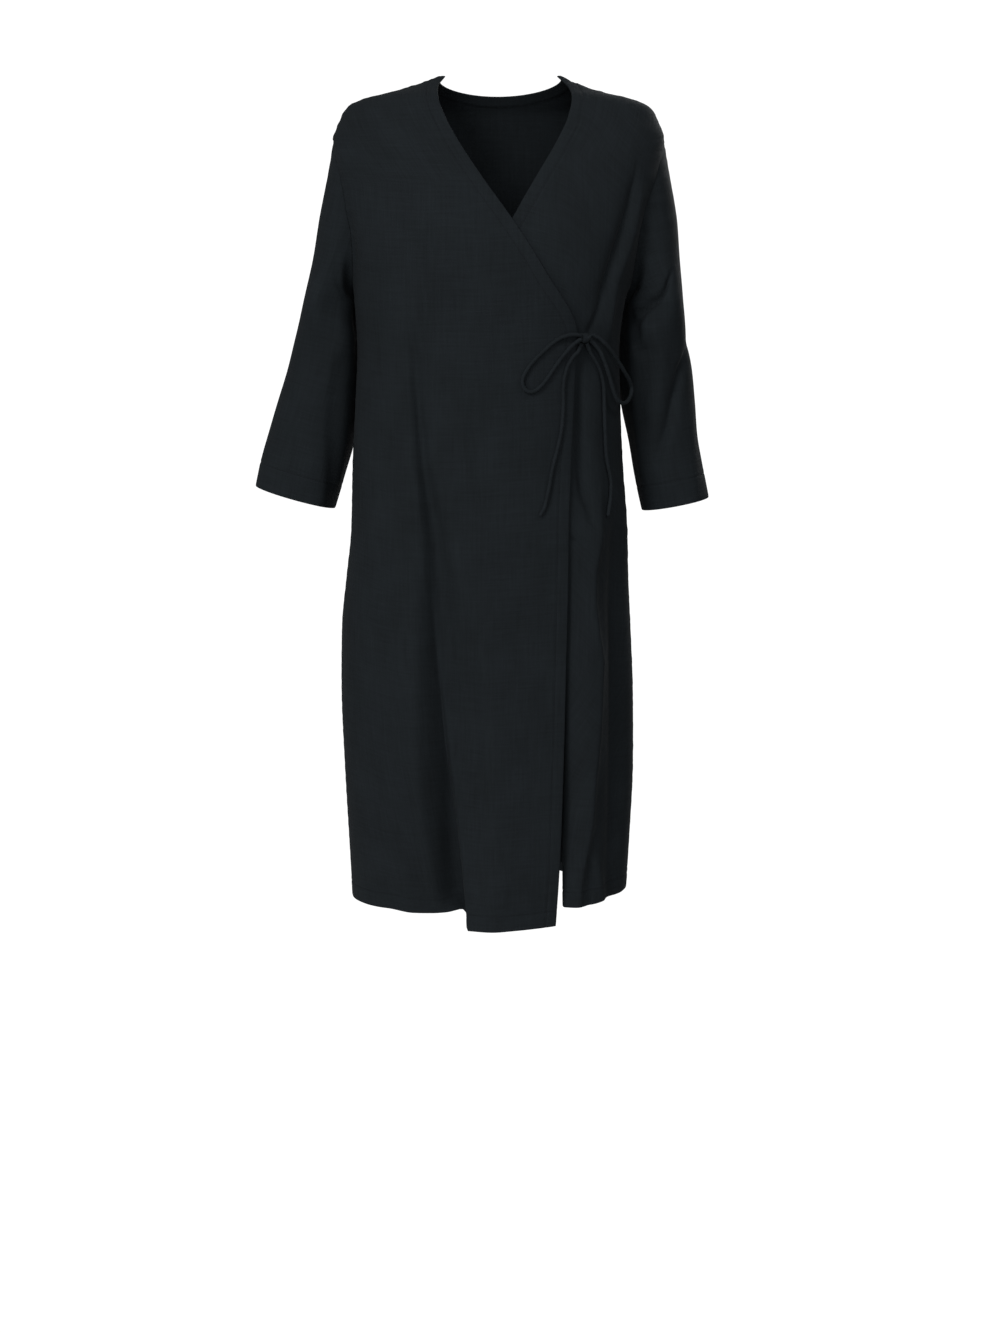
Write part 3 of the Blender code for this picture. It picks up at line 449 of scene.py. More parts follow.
def unit(vectors):
    """The vectors at length 1."""
    return vectors / np.linalg.norm(vectors, axis=-1, keepdims=True)


def body_size(drop):
    """The middle, half width and squareness of the body of the dress."""
    right, left = smooth(BODY, "right", drop), smooth(BODY, "left", drop)
    return (left - right) / 2, (left + right) / 2, smooth(BODY, "squareness", drop)


def ring(around, drop):
    """A point of the plain body. The angle runs from the wearer's left side by the front to the right side."""
    middle, half, squareness = body_size(drop)
    across, along = np.cos(around), np.sin(around)
    depth = np.where(along >= 0, smooth(BODY, "front", drop), smooth(BODY, "back", drop))
    reach = (np.abs(across / half) ** squareness + np.abs(along / depth) ** squareness) ** (-1 / squareness)
    return np.stack((middle + reach * across, -reach * along, -drop * np.ones_like(reach)), axis=-1)


def around_at_x(x, drop):
    """The angle of the front at this x."""
    middle, half, squareness = body_size(drop)
    share = np.clip(np.abs(x - middle) / half, 0.0, 1.0)
    depth = smooth(BODY, "front", drop) * (1 - share**squareness) ** (1 / squareness)
    return np.arctan2(depth, x - middle)


def around_at_y(y, drop, side):
    """The angle of a side at this y: side is 1 for the wearer's left and -1 for the right."""
    _, half, squareness = body_size(drop)
    depth = np.where(y < 0, smooth(BODY, "front", drop), smooth(BODY, "back", drop))
    share = np.clip(np.abs(y) / depth, 0.0, 1.0)
    angle = np.arctan2(-y, side * half * (1 - share**squareness) ** (1 / squareness))
    return np.where(angle < -math.pi / 2, angle + 2 * math.pi, angle)


def fold(across, down, roundness, skew, route):
    """How high one fold stands: its height along the route, and less to either side of it."""
    place = np.broadcast(across, down).shape
    nearest, height = np.full(place, np.inf), np.zeros(place)
    for (x0, d0, h0, w0), (x1, d1, h1, w1) in zip(route, route[1:]):
        span = (x1 - x0) ** 2 + (d1 - d0) ** 2
        share = np.clip(((across - x0) * (x1 - x0) + (down - d0) * (d1 - d0)) / span, 0.0, 1.0)
        aside = across - x0 - share * (x1 - x0)
        away = np.hypot(aside, down - d0 - share * (d1 - d0))
        rightward = (1 + aside / np.maximum(away, 1e-9)) / 2
        widths_off = away / ((w0 + share * (w1 - w0)) * (1 + (skew - 1) * rightward))
        closer = widths_off < nearest
        nearest = np.where(closer, widths_off, nearest)
        height = np.where(closer, h0 + share * (h1 - h0), height)
    return height * np.exp(-(nearest**roundness))


def folds(across, down, rows):
    """How high several folds stand together."""
    return sum(fold(across, down, *row) for row in rows)


def hem_hollow(x, drop):
    """How deep the hollow that ends in the hem's step is."""
    step = smooth(HEM_STEP, "x", drop)
    spread = smooth(HEM_STEP, "spread", drop)
    rise = ease((x - step + spread) / spread)
    fall = 1 - ease((x - step) / (1.4 * STEP_HALF))
    return -smooth(HEM_STEP, "hollow", drop) * rise * fall


def relief(points, along):
    """How far the folds lift the cloth off the plain body."""
    x, drop = points[..., 0], -points[..., 2]
    front = folds(x, drop, FRONT_FOLDS) + hem_hollow(x, drop)
    flare = 1 + BACK_HEM_FLARE * ease((drop - FLARE_TOP_DROP) / (HEM_DROP - FLARE_TOP_DROP))
    back = flare * folds(x, drop, BACK_FOLDS)
    return np.where(along >= 0, front * ease(along / SIDE_FADE), back * ease(-along / SIDE_FADE))


def body_face(around, drop, inset=0.0):
    """A point of the folded body, the inset below its face."""
    turn, rise = 1e-3, 2e-4  # to the points beside it that give its slope
    base = ring(around, drop)
    across = ring(around + turn, drop) - ring(around - turn, drop)
    down = ring(around, drop + rise) - ring(around, np.maximum(drop - rise, 0.0))
    outward = unit(np.cross(across, down))
    return base + outward * (relief(base, np.sin(around)) - inset)[..., None]


def armhole_reach(share):
    """Half the armhole, on a rounder curve than straight lines between the table's rows."""
    return smooth(ARMHOLE, "reach", share)


def seam_y(drop):
    """The shoulder seam, the middle of the armhole and the side seam, front to back."""
    return SIDE_SEAM_BACK * ease((drop - SHOULDER_DROP) / (UNDERARM_DROP - SHOULDER_DROP))


def edge_y(drop, toward):
    """The edge of a front (toward -1) or of the back (toward 1) along shoulder, armhole and side."""
    share = (drop - SHOULDER_DROP) / (UNDERARM_DROP - SHOULDER_DROP)
    reach = np.where((share > 0) & (share < 1), armhole_reach(np.clip(share, 0.0, 1.0)), 0.0)
    return seam_y(drop) + toward * (reach + SEAM_GAP / 2)


def lengths_from(side_angle, direction, drop):
    """Angles from a side round the front, and their distance from it along the body."""
    angles = side_angle + direction * np.linspace(0.0, 0.97 * math.pi, 240)
    points = ring(angles, np.full_like(angles, drop))
    return angles, np.concatenate(([0.0], np.cumsum(np.linalg.norm(np.diff(points, axis=0), axis=1))))


def length_at_x(x, drop, angles, lengths):
    """How far round the front this x lies."""
    at = around_at_x(x, drop)
    return np.interp(at, angles, lengths) if angles[0] < angles[-1] else np.interp(at, angles[::-1], lengths[::-1])


def hem_drop(drop, hem, start):
    """Carries a row down or up by its share of what the hem does."""
    return drop + (hem - HEM_DROP) * ease((drop - start) / (HEM_DROP - start))


def tucked(length, fold, amount):
    """Where cloth at this length lies along the body and below its face, with the tuck taken."""
    radius, depth = TUCK_RADIUS, TUCK_DEPTH
    past = length - fold
    first = np.clip(past / radius, 0.0, math.pi)
    back = np.clip(past - math.pi * radius, 0.0, depth)
    second = np.clip((past - math.pi * radius - depth) / radius, 0.0, math.pi)
    on = np.maximum(past - 2 * math.pi * radius - depth, 0.0)
    place = np.minimum(length, fold) + radius * (np.sin(first) - np.sin(second)) - back + on
    inset = radius * (2 - np.cos(first) - np.cos(second))
    return (1 - amount) * length + amount * place, amount * inset


def sleeve_seam(share, side, toward):
    """A point of the sleeve's head on the body: toward is -1 for the front of it and 1 for the back."""
    height = UNDERARM_DROP - SHOULDER_DROP
    shrink = 1 - 3 * ARMHOLE_EASE / height
    drop = SHOULDER_DROP + ARMHOLE_EASE + share * shrink * height
    reach = armhole_reach(share)
    y = seam_y(drop) + toward * max(reach - ARMHOLE_EASE, 0.0)
    return body_face(np.array(around_at_y(y, drop, side)), np.array(drop))


def sleeve_arc(round_share, row, side, lower):
    """A row of a sleeve. Row 1 is the underarm and row 2 the cuff."""
    sign = np.array((side, 1.0, 1.0))
    if row <= 1:
        front, rear = (sleeve_seam(row, side, toward) * sign for toward in (-1, 1))
        drop = -(front[2] + rear[2]) / 2
        middle, reach = (front[1] + rear[1]) / 2, (rear[1] - front[1]) / 2
        underarm = lower["half_depth"][0]
        grown = ease((row - BELOW_HEAD) / (1 - BELOW_HEAD))
        half_depth = reach + (underarm - reach) * grown
        turn = math.sqrt(max(1 - (reach / half_depth) ** 2, 0.0)) if half_depth > 0 else 0.0
        outer = float(smooth(SLEEVE_OUTER, "right" if side < 0 else "left", drop))
        inner = (front[0] + rear[0]) / 2
        end = math.pi - math.asin(min(reach / half_depth, 1.0)) if turn > 0 else math.pi / 2
        angle = end * (2 * np.concatenate((round_share, [0.0, 1.0])) - 1)
        across = np.maximum((np.cos(angle) + turn) / (1 + turn), 0.0)
        x = inner + (outer - inner) * across ** (1 - UNDERARM_POINT * grown)
        y = middle + half_depth * np.sin(angle)
        arc = np.stack((x, y, np.full_like(x, -drop)), axis=-1)
        to_front = np.clip(1 - 2 * round_share, 0.0, None)[:, None]
        to_rear = np.clip(2 * round_share - 1, 0.0, None)[:, None]
        arc = arc[:-2] + (front - arc[-2]) * to_front + (rear - arc[-1]) * to_rear
        return arc * sign
    # The point at the underarm fades out over the first quarter of this part, and the offset of its seam sooner.
    share = row - 1
    values = {name: float(smooth(lower, name, share)) for name in lower}
    angle = math.pi * (2 * round_share - 1)
    across = (1 + np.cos(angle)) / 2
    pointed = across ** (1 - UNDERARM_POINT * (1 - ease(share / 0.25)))
    seam = sleeve_seam(1.0, side, -1) * sign
    inner = values["inner"] + (seam[0] - lower["inner"][0]) * max(1 - share / 0.08, 0.0)
    x = inner + (values["outer"] - inner) * pointed
    y = values["middle"] + values["half_depth"] * np.sin(angle)
    drop = values["inner_drop"] + (values["outer_drop"] - values["inner_drop"]) * across
    return np.stack((x, y, -drop), axis=-1) * sign


def sleeve(side, lower, fold_rows):
    """The points of a sleeve: a line of them round it for each row down it."""
    first = ARMHOLE["share"][1]
    ends = [sleeve_seam(first, side, toward) for toward in (-1, 1)]
    top = sleeve_seam(0.0, side, -1)

    def plain(shares, row):
        across = (2 * shares - 1)[:, None]
        head = np.where(across < 0, top + (ends[0] - top) * -across, top + (ends[1] - top) * across)
        lifted = head - sleeve_arc(shares, first, side, lower)
        return sleeve_arc(shares, row, side, lower) + lifted * (1 - ease((row - first) / BELOW_HEAD))

    shares, step = SLEEVE_SHARES, 1e-3
    # The folds fade out beside the seam.
    beside_seam = ease(16 * shares) * ease(16 * (1 - shares))
    found = []
    for row in SLEEVE_ROWS:
        along = plain(shares + step, row) - plain(shares - step, row)
        near = min(row, 2 - step)
        down = plain(shares, near + step) - plain(shares, near - step)
        outward = -side * unit(np.cross(along, down))
        lift = folds(shares, np.full_like(shares, row), fold_rows) * beside_seam * ease((row - first) / 0.35)
        found.append(plain(shares, row) + outward * lift[:, None])
    return np.array(found)


# ---------------------------------------------------------------- settings


def rgb(code):
    """An sRGB hex colour as linear numbers."""
    parts = [int(code[k : k + 2], 16) / 255 for k in (0, 2, 4)]
    return tuple(p / 12.92 if p <= 0.04045 else ((p + 0.055) / 1.055) ** 2.4 for p in parts)


def size(name, description, default):
    return bpy.props.FloatProperty(name=name, description=description, default=default, unit="LENGTH", precision=5)


def amount(name, description, default, unit="NONE"):
    return bpy.props.FloatProperty(name=name, description=description, default=default, min=0.0, unit=unit)


def colour(name, description, code):
    return bpy.props.FloatVectorProperty(
        name=name, description=description, default=rgb(code), subtype="COLOR", size=3, min=0.0, max=1.0
    )


class DressCloth(bpy.types.PropertyGroup):
    thickness: size("Cloth", "Thickness of the linen", 0.0010)
    turning: size("Turned hem", "How much thicker the cloth is where it is turned in", 0.0009)
    edge_hem: size("Front hem", "From the free edge of a front or the neck to its stitching", 0.0145)
    bottom_hem: size("Bottom hem", "From the bottom edge to its stitching", 0.0215)
    cuff_hem: size("Cuff hem", "From the edge of a cuff to its stitching", 0.0330)
    yarn: size("Yarn spacing", "From one yarn of the weave to the next", 0.0012)
    dark: colour("Dark yarn", "The darker yarns of the linen", "0d0f10")
    light: colour("Light yarn", "The lighter yarns and slubs of the linen", "1a1e21")


class DressTies(bpy.types.PropertyGroup):
    diameter: size("Tie", "Diameter of the tie cord", 0.005)
    gap: size("Gap", "From a tie to the cloth that it lies on", 0.0003)


class DressThread(bpy.types.PropertyGroup):
    stitch: size("Stitch", "From one stitch to the next", 0.0032)
    thickness: size("Thread", "Thickness of the sewing thread", 0.00042)
    tint: colour("Thread", "Colour of the sewing thread", "131417")


class DressStage(bpy.types.PropertyGroup):
    floor_drop: size("Floor", "How far the floor lies below the neck points", 1.548)
    floor_tint: colour("Floor", "Colour of the floor", "f4f4f4")
    surround: amount("Surround", "Brightness of the ground that the camera sees", 1.08)
    left: amount("Left Wall", "Light from the camera's left side", 0.50)
    right: amount("Right Wall", "Light from the camera's right side", 0.26)
    main_light: amount("Main Light", "Power of the large soft light, in watts", 94.0, "POWER")
    back_light: amount("Back Light", "Power of the light behind, in watts", 55.0, "POWER")
    right_light: amount("Right Light", "Power of the light at the camera's right, in watts", 20.0, "POWER")
    fill_light: amount("Fill Light", "Power of the light in front, in watts", 15.0, "POWER")
    low_light: amount("Low Light", "Power of the light at the hem, in watts", 9.0, "POWER")
    top_light: amount("Top Light", "Power of the light above, in watts", 8.0, "POWER")


# ---------------------------------------------------------------- grids of cloth


def run_from(points, axis, end=0):
    """Lengths along the cloth from one edge of a grid of points."""
    steps = np.cumsum(np.linalg.norm(np.diff(points, axis=axis), axis=-1), axis=axis)
    lengths = np.concatenate((np.zeros_like(np.take(steps, [0], axis=axis)), steps), axis=axis)
    return lengths if end == 0 else np.take(lengths, [-1], axis=axis) - lengths


def off_edge(points, axis, end=0):
    """Distances from a slanting edge: the run along each line, times the slant between the line and the edge."""
    edge = np.take(points, -1 if end else 0, axis=axis)
    beside = np.take(points, -3 if end else 2, axis=axis)
    slant = np.linalg.norm(np.cross(unit(beside - edge), unit(np.gradient(edge, axis=0))), axis=-1)
    return run_from(points, axis, end) * np.expand_dims(np.clip(slant, 0.15, 1.0), axis)


def spaced(total, near_start, stops, counts, near_end):
    """Lengths across a row: close steps at both edges, and even steps between the stops in the middle."""
    start, end = np.array(near_start), np.array(near_end)
    shrink = min(1.0, 0.3 * total / max(start[-1], end[-1]))
    marks = [start[-1] * shrink, *stops, total - end[-1] * shrink]
    middle = [np.linspace(a, b, n + 1)[1:] for a, b, n in zip(marks, marks[1:], counts)]
    return np.concatenate((start * shrink, *middle, total - end[-2::-1] * shrink))


EDGE_START = (0.0, 0.0003, 0.0008, 0.0016)  # close steps where the cloth rolls over to an edge
SEAM_STEPS = (0.0, 0.0006, 0.0014, 0.0026, 0.0045, 0.0075)
EDGE_STEPS = (*EDGE_START, *np.arange(0.0030, 0.0260, 0.0015))
HEM_STEPS = (*EDGE_START, *np.arange(0.0030, 0.0320, 0.0015))
CUFF_STEPS = np.array((*EDGE_START, *np.arange(0.0030, 0.0400, 0.0015)))
TOP_ROWS = (*np.linspace(TOP_DROP, 0.0100, 17), *np.linspace(0.0115, 0.0310, 14), *np.linspace(0.0340, 0.0760, 15))
ARM_ROWS = (*np.linspace(0.0800, 0.1000, 11), *np.linspace(0.1040, 0.2640, 41), *np.linspace(0.2675, 0.2850, 6))
SKIRT_ROWS = (*np.linspace(0.2890, 1.0560, 178), *(HEM_DROP - np.array(HEM_STEPS[::-1])))
BODY_ROWS = np.array((*TOP_ROWS, *ARM_ROWS, *SKIRT_ROWS))
ROW_LENGTH = 0.262  # one row of a sleeve below the underarm, along the cloth
SLEEVE_ROWS = np.array(
    (*np.linspace(0.10, 1.0, 52), *np.linspace(1.016, 1.835, 56), *(2 - CUFF_STEPS[::-1] / ROW_LENGTH))
)
SLEEVE_JOINED = 51  # from this row on, the sleeve's two sides are joined into a tube
SLEEVE_ROUND = 0.30  # the way round a sleeve
SLEEVE_SHARES = np.array(
    (
        *(step / SLEEVE_ROUND for step in SEAM_STEPS),
        *np.linspace(0.034, 0.966, 89),
        *(1 - step / SLEEVE_ROUND for step in SEAM_STEPS[::-1]),
    )
)


def right_front():
    """The grid of the right front, with columns of its own along the hem's step."""
    points = []
    for drop in BODY_ROWS:
        waist = max(drop, WAIST_DROP)
        stops = []
        for at in (waist, drop):
            angles, lengths = lengths_from(around_at_y(edge_y(at, -1), at, -1), -1, at)
            step = smooth(HEM_STEP, "x", at)
            places = (step - STEP_HALF, step + STEP_HALF, smooth(RIGHT_FRONT_EDGE, "x", at))
            stops.append(np.array([length_at_x(x, at, angles, lengths) for x in places]))
        total = stops[1][-1]
        inner = stops[0][:-1] * total / stops[0][-1]
        length = spaced(total, SEAM_STEPS, inner, (48, 8, 34), EDGE_STEPS)
        around = np.interp(length, lengths, angles)
        down = hem_drop(drop, smooth(RIGHT_HEM, "drop", length), HEM_TOP_DROP)
        points.append(body_face(around, down))
    return np.array(points)


def left_front():
    """The grid of the left front, with columns of its own round the edge that is folded under."""
    points = []
    for drop in BODY_ROWS:
        waist = max(drop, WAIST_DROP)
        ends = []
        for at in (waist, drop):
            angles, lengths = lengths_from(around_at_y(edge_y(at, -1), at, 1), 1, at)
            ends.append(length_at_x(smooth(LEFT_FRONT_EDGE, "x", at), at, angles, lengths))
            if at == waist:
                fold = length_at_x(TUCK_X, at, angles, lengths)
        bend = math.pi * TUCK_RADIUS
        stops = np.array([fold, fold + bend, fold + bend + TUCK_DEPTH, fold + 2 * bend + TUCK_DEPTH])
        length = spaced(ends[1], SEAM_STEPS, stops * ends[1] / ends[0], (44, 8, 8, 8, 18), EDGE_STEPS)
        amount = ease((drop - TUCK_TOP_DROP) / (TUCK_FULL_DROP - TUCK_TOP_DROP))
        place, inset = tucked(length, fold, amount)
        around = np.interp(place, lengths, angles)
        down = hem_drop(drop, smooth(LEFT_HEM, "drop", length), TUCK_TOP_DROP)
        x = ring(around, down)[..., 0]
        covered = ease((smooth(RIGHT_FRONT_EDGE, "x", down) + COVERED_BEYOND - x) / COVERED_RUN)
        points.append(body_face(around, down, inset + LAYER_STEP * covered - folds(x, down, UNDER_FOLDS)))
    return np.array(points)


def back():
    """The grid of the back."""
    points = []
    for drop in BODY_ROWS:
        right = around_at_y(edge_y(drop, 1), drop, -1)
        left = around_at_y(edge_y(drop, 1), drop, 1) + 2 * math.pi
        around = np.linspace(right, left, 400)
        lengths = run_from(ring(around, np.full_like(around, drop)), 0)
        length = spaced(lengths[-1], SEAM_STEPS, (), (112,), SEAM_STEPS)
        dip = BACK_NECK_DIP * np.clip(np.sin(math.pi * length / lengths[-1]), 0.0, 1.0) ** 1.5
        down = hem_drop(drop, smooth(BACK_HEM, "drop", length / lengths[-1]), HEM_TOP_DROP)
        down += dip * (1 - ease(drop / NECK_DIP_END))
        points.append(body_face(np.interp(length, lengths, around), down))
    return np.array(points)


# ---------------------------------------------------------------- walls


def normals_of(points, turn):
    """The way out of the cloth at each point of a grid."""
    normal = np.cross(np.gradient(points, axis=1), np.gradient(points, axis=0))
    return turn * normal / np.maximum(np.linalg.norm(normal, axis=-1, keepdims=True), 1e-12)


def rolled(distance, depth, width):
    """How far a face sinks as it rolls over to an edge."""
    return -depth * (1 - np.sqrt(np.clip(1 - (1 - np.clip(distance / width, 0, 1)) ** 2, 0, 1)))


def sewn(distance, line):
    """The dent along a line of stitches, 0.45 mm deep, and the fullness of the turned cloth on either side of it."""
    dent = -0.00045 * np.exp(-(((distance - line) / 0.0011) ** 2))
    beside = 0.00022 * np.exp(-(((distance - line - 0.0032) / 0.0022) ** 2))
    full = 0.00030 * ease(distance / 0.004) * ease((line - distance) / 0.004)
    return dent + beside + full


def shown(name, points, faces, uv, material):
    """A smooth mesh. Its cloth coordinates are given for each corner of each face."""
    mesh = bpy.data.meshes.new(name)
    mesh.from_pydata(points.tolist(), [], faces)
    layer = mesh.uv_layers.new(name="cloth")
    layer.data.foreach_set("uv", uv.astype(np.float32).ravel())
    mesh.shade_smooth()
    mesh.materials.append(material)
    piece = bpy.data.objects.new(name, mesh)
    bpy.context.scene.collection.objects.link(piece)
    return piece


def ring_faces(ids, flipped=False):
    """The faces of a closed tube whose points are numbered ring by ring, flipped where the rings run clockwise."""
    beside = np.roll(ids, -1, axis=1)
    quads = np.stack((ids[:-1], beside[:-1], beside[1:], ids[1:]), axis=-1).reshape(-1, 4)
    faces = [*quads.tolist(), ids[0, ::-1].tolist(), ids[-1].tolist()]
    return [[face[0], *face[:0:-1]] for face in faces] if flipped else faces


def rim_edges(ids, joined_from):
    """The start and end of each edge round a grid: its top, its bottom, and its sides as far as they are open."""
    open_rows = len(ids) - 1 if joined_from is None else joined_from
    sides = ids[: open_rows + 1]
    ends = [(ids[0, :-1], ids[0, 1:]), (ids[-1, 1:], ids[-1, :-1])]
    ends += [(sides[1:, 0], sides[:-1, 0]), (sides[:-1, -1], sides[1:, -1])]
    return (np.concatenate(side) for side in zip(*ends))


def wall(name, points, turn, thickness, lift, uv, material, sewn_edge, joined_from=None):
    """A wall of cloth: its outer face is the points, lifted, and its inner face lies a thickness below them.

    Where sewn_edge is true the edge slants, so that no light passes straight through the seam.
    """
    normal = normals_of(points, turn)
    if joined_from is not None:
        both = unit(normal[joined_from:, 0] + normal[joined_from:, -1])
        normal[joined_from:, 0] = normal[joined_from:, -1] = both
    outer = points + normal * lift[..., None]
    inner = points - normal * thickness[..., None]
    slant = sewn_edge * ease((-points[..., 2] - 0.014) / 0.010)  # not at the neck points
    inner[..., 0] -= SEAM_SLANT[0] * np.sign(inner[..., 0]) * slant
    inner[..., 1] -= SEAM_SLANT[1] * slant
    count = lift.size
    ids = np.arange(count).reshape(lift.shape)
    if joined_from is not None:
        ids[joined_from:, -1] = ids[joined_from:, 0]
    quads = np.stack((ids[:-1, :-1], ids[1:, :-1], ids[1:, 1:], ids[:-1, 1:]), axis=-1).reshape(-1, 4)
    start, end = rim_edges(ids, joined_from)
    rim = np.stack((start, end, end + count, start + count), axis=-1)
    faces = np.concatenate((quads, quads[:, ::-1] + count, rim))
    faces = faces if turn < 0 else faces[:, ::-1]
    used, corner = np.unique(faces, return_inverse=True)
    both_faces = np.concatenate((outer, inner)).reshape(-1, 3)[used]
    both_uv = np.concatenate((uv, uv)).reshape(-1, 2)[faces.ravel()]
    return shown(name, both_faces, corner.reshape(-1, 4).tolist(), both_uv, material), outer, normal


def grain(points, across):
    """The cloth's own coordinates: across is given for every point, and down is run along each upright yarn."""
    down = np.zeros(points.shape[:2])
    down[-1] = HEM_DROP
    for row in range(len(points) - 2, -1, -1):
        below = np.argsort(across[row + 1])
        at = across[row]
        under = np.stack([np.interp(at, across[row + 1][below], points[row + 1][below, k]) for k in range(3)], -1)
        step = np.linalg.norm(points[row] - under, axis=-1)
        down[row] = np.interp(at, across[row + 1][below], down[row + 1][below]) - step
    return np.stack((across, down), axis=-1)


def level(values, distance, target, axis, end=0):
    """Where a grid's distance from an edge reaches a target, along each line that crosses it."""
    lines = np.moveaxis(values, axis, 0)
    far = np.moveaxis(distance, axis, 0)
    if end:
        lines, far = lines[::-1], far[::-1]
    found = []
    for k in range(far.shape[1]):
        if far[:, k].max() > target * 1.02:
            rise = np.maximum.accumulate(far[:, k])
            found.append([np.interp(target, rise, lines[:, k, c]) for c in range(lines.shape[-1])])
    return np.array(found)


# ---------------------------------------------------------------- materials


def set_inputs(tree, node, inputs):
    """Links a socket among the inputs, and sets anything else."""
    for key, value in dict(inputs).items():
        if isinstance(value, bpy.types.NodeSocket):
            tree.links.new(value, node.inputs[key])
        else:
            node.inputs[key].default_value = value


def add_node(tree, kind, inputs=(), **settings):
    """Adds a node with its settings and its inputs."""
    made = tree.nodes.new(kind)
    for key, value in settings.items():
        setattr(made, key, value)
    set_inputs(tree, made, inputs)
    return made


def math_node(tree, operation, *values):
    return add_node(tree, "ShaderNodeMath", dict(enumerate(values)), operation=operation).outputs[0]


def blended(tree, share, first, second):
    """A colour between two linear ones."""
    ends = {0: share, 6: (*first, 1.0), 7: (*second, 1.0)}
    return add_node(tree, "ShaderNodeMix", ends, data_type="RGBA").outputs[2]


def bumped(tree, height, strength, distance):
    """A normal from a height, for relief too fine to model."""
    inputs = {"Height": height, "Strength": strength, "Distance": distance}
    return add_node(tree, "ShaderNodeBump", inputs).outputs[0]


def new_material(name):
    material = bpy.data.materials.new(name)
    material.use_nodes = True
    tree = material.node_tree
    return material, tree, tree.nodes["Principled BSDF"]


def woven_linen(name, yarn, dark, light, turned=0.0):
    """Plain-woven linen, matt and dry: uneven yarns with slubs, which give fine streaks along and across."""
    material, tree, shader = new_material(name)
    uv = add_node(tree, "ShaderNodeUVMap", uv_map="cloth").outputs[0]
    turn = add_node(tree, "ShaderNodeMapping", {"Vector": uv, "Rotation": (0.0, 0.0, turned)}).outputs[0]
    parts = add_node(tree, "ShaderNodeSeparateXYZ", {0: turn}).outputs
    across = math_node(tree, "SINE", math_node(tree, "MULTIPLY", parts[0], math.pi / yarn))
    along = math_node(tree, "SINE", math_node(tree, "MULTIPLY", parts[1], math.pi / yarn))
    over = math_node(tree, "MULTIPLY_ADD", math_node(tree, "MULTIPLY", across, along), 0.5, 0.5)
    warp = math_node(tree, "MULTIPLY", math_node(tree, "ABSOLUTE", across), over)
    weft = math_node(tree, "MULTIPLY", math_node(tree, "ABSOLUTE", along), math_node(tree, "SUBTRACT", 1.0, over))
    yarns = math_node(tree, "ADD", warp, weft)

    def streaks(columns, rows, seed):
        place = {"Vector": turn, "Scale": (columns, rows, 1.0), "Location": (seed, seed, 0.0)}
        moved = add_node(tree, "ShaderNodeMapping", place).outputs[0]
        return add_node(tree, "ShaderNodeTexNoise", {"Vector": moved, "Scale": 1.0, "Detail": 2.0}).outputs["Fac"]

    # Columns and rows in a metre: slubs 1.1 mm thick and 33 mm long, which roughen the cloth seen close, bundles of
    # them 3 mm by 62 mm, which show from afar as faint lines both ways, and a cloudy wash of 45 mm by 71 mm.
    fine = math_node(tree, "ADD", streaks(900.0, 30.0, 3.0), streaks(30.0, 900.0, 11.0))
    broad = math_node(tree, "ADD", streaks(330.0, 16.0, 5.0), streaks(16.0, 330.0, 17.0))
    cloudy = streaks(22.0, 14.0, 23.0)
    slub = math_node(tree, "MULTIPLY_ADD", fine, 0.5, math_node(tree, "MULTIPLY", broad, 0.5))
    tone = math_node(tree, "MULTIPLY_ADD", cloudy, 0.35, math_node(tree, "MULTIPLY", slub, 0.5))
    shade = add_node(tree, "ShaderNodeMapRange", {"Value": tone, "From Min": 0.25, "From Max": 1.05}, clamp=True)
    # The thick slubs are a little less dull, as they stand up and get rubbed.
    dulled = {"Value": slub, "From Min": 0.6, "From Max": 1.4, "To Min": 0.92, "To Max": 0.78}
    height = math_node(tree, "MULTIPLY_ADD", slub, 0.9, math_node(tree, "MULTIPLY", yarns, 0.5))
    look = {
        "Base Color": blended(tree, shade.outputs[0], dark, light),
        "Roughness": add_node(tree, "ShaderNodeMapRange", dulled).outputs[0],
        "Normal": bumped(tree, height, 0.6, 0.0004),
        "IOR": 1.5,
        "Specular IOR Level": 0.03,
        "Sheen Weight": 0.008,
        "Sheen Roughness": 0.35,
    }
    set_inputs(tree, shader, look)
    return material


def spun_polyester_thread(name, tint):
    """Twisted sewing thread: smoother than the linen, so that it catches a faint line of light."""
    material, tree, shader = new_material(name)
    uv = add_node(tree, "ShaderNodeUVMap", uv_map="cloth").outputs[0]
    waves = {"Vector": uv, "Scale": 600.0, "Distortion": 0.5}
    # The twist gives the thread its relief, and it also paints the thread a fifth darker in the grooves between the
    # plies: painted shade.
    twist_and_groove_shade = add_node(tree, "ShaderNodeTexWave", waves, bands_direction="DIAGONAL").outputs["Fac"]
    look = {
        "Base Color": blended(tree, twist_and_groove_shade, [0.8 * c for c in tint], tint),
        "Normal": bumped(tree, twist_and_groove_shade, 0.4, 0.0001),
        "Roughness": 0.7,
        "IOR": 1.5,
        "Specular IOR Level": 0.05,
    }
    set_inputs(tree, shader, look)
    return material


def lit_floor(name, tint):
    """White acrylic over lamps, as on a light table: it shows no shadow and gives an even pale ground."""
    material, tree, shader = new_material(name)
    where = add_node(tree, "ShaderNodeTexCoord").outputs["Object"]
    faint = add_node(tree, "ShaderNodeTexNoise", {"Vector": where, "Scale": 2.0, "Detail": 3.0}).outputs["Fac"]
    look = {
        "Base Color": blended(tree, faint, [0.98 * c for c in tint], tint),
        "Roughness": 0.9,
        "Emission Color": (1.0, 1.0, 1.0, 1.0),
        "Emission Strength": 1.0,
    }
    set_inputs(tree, shader, look)
    return material


# ---------------------------------------------------------------- thread


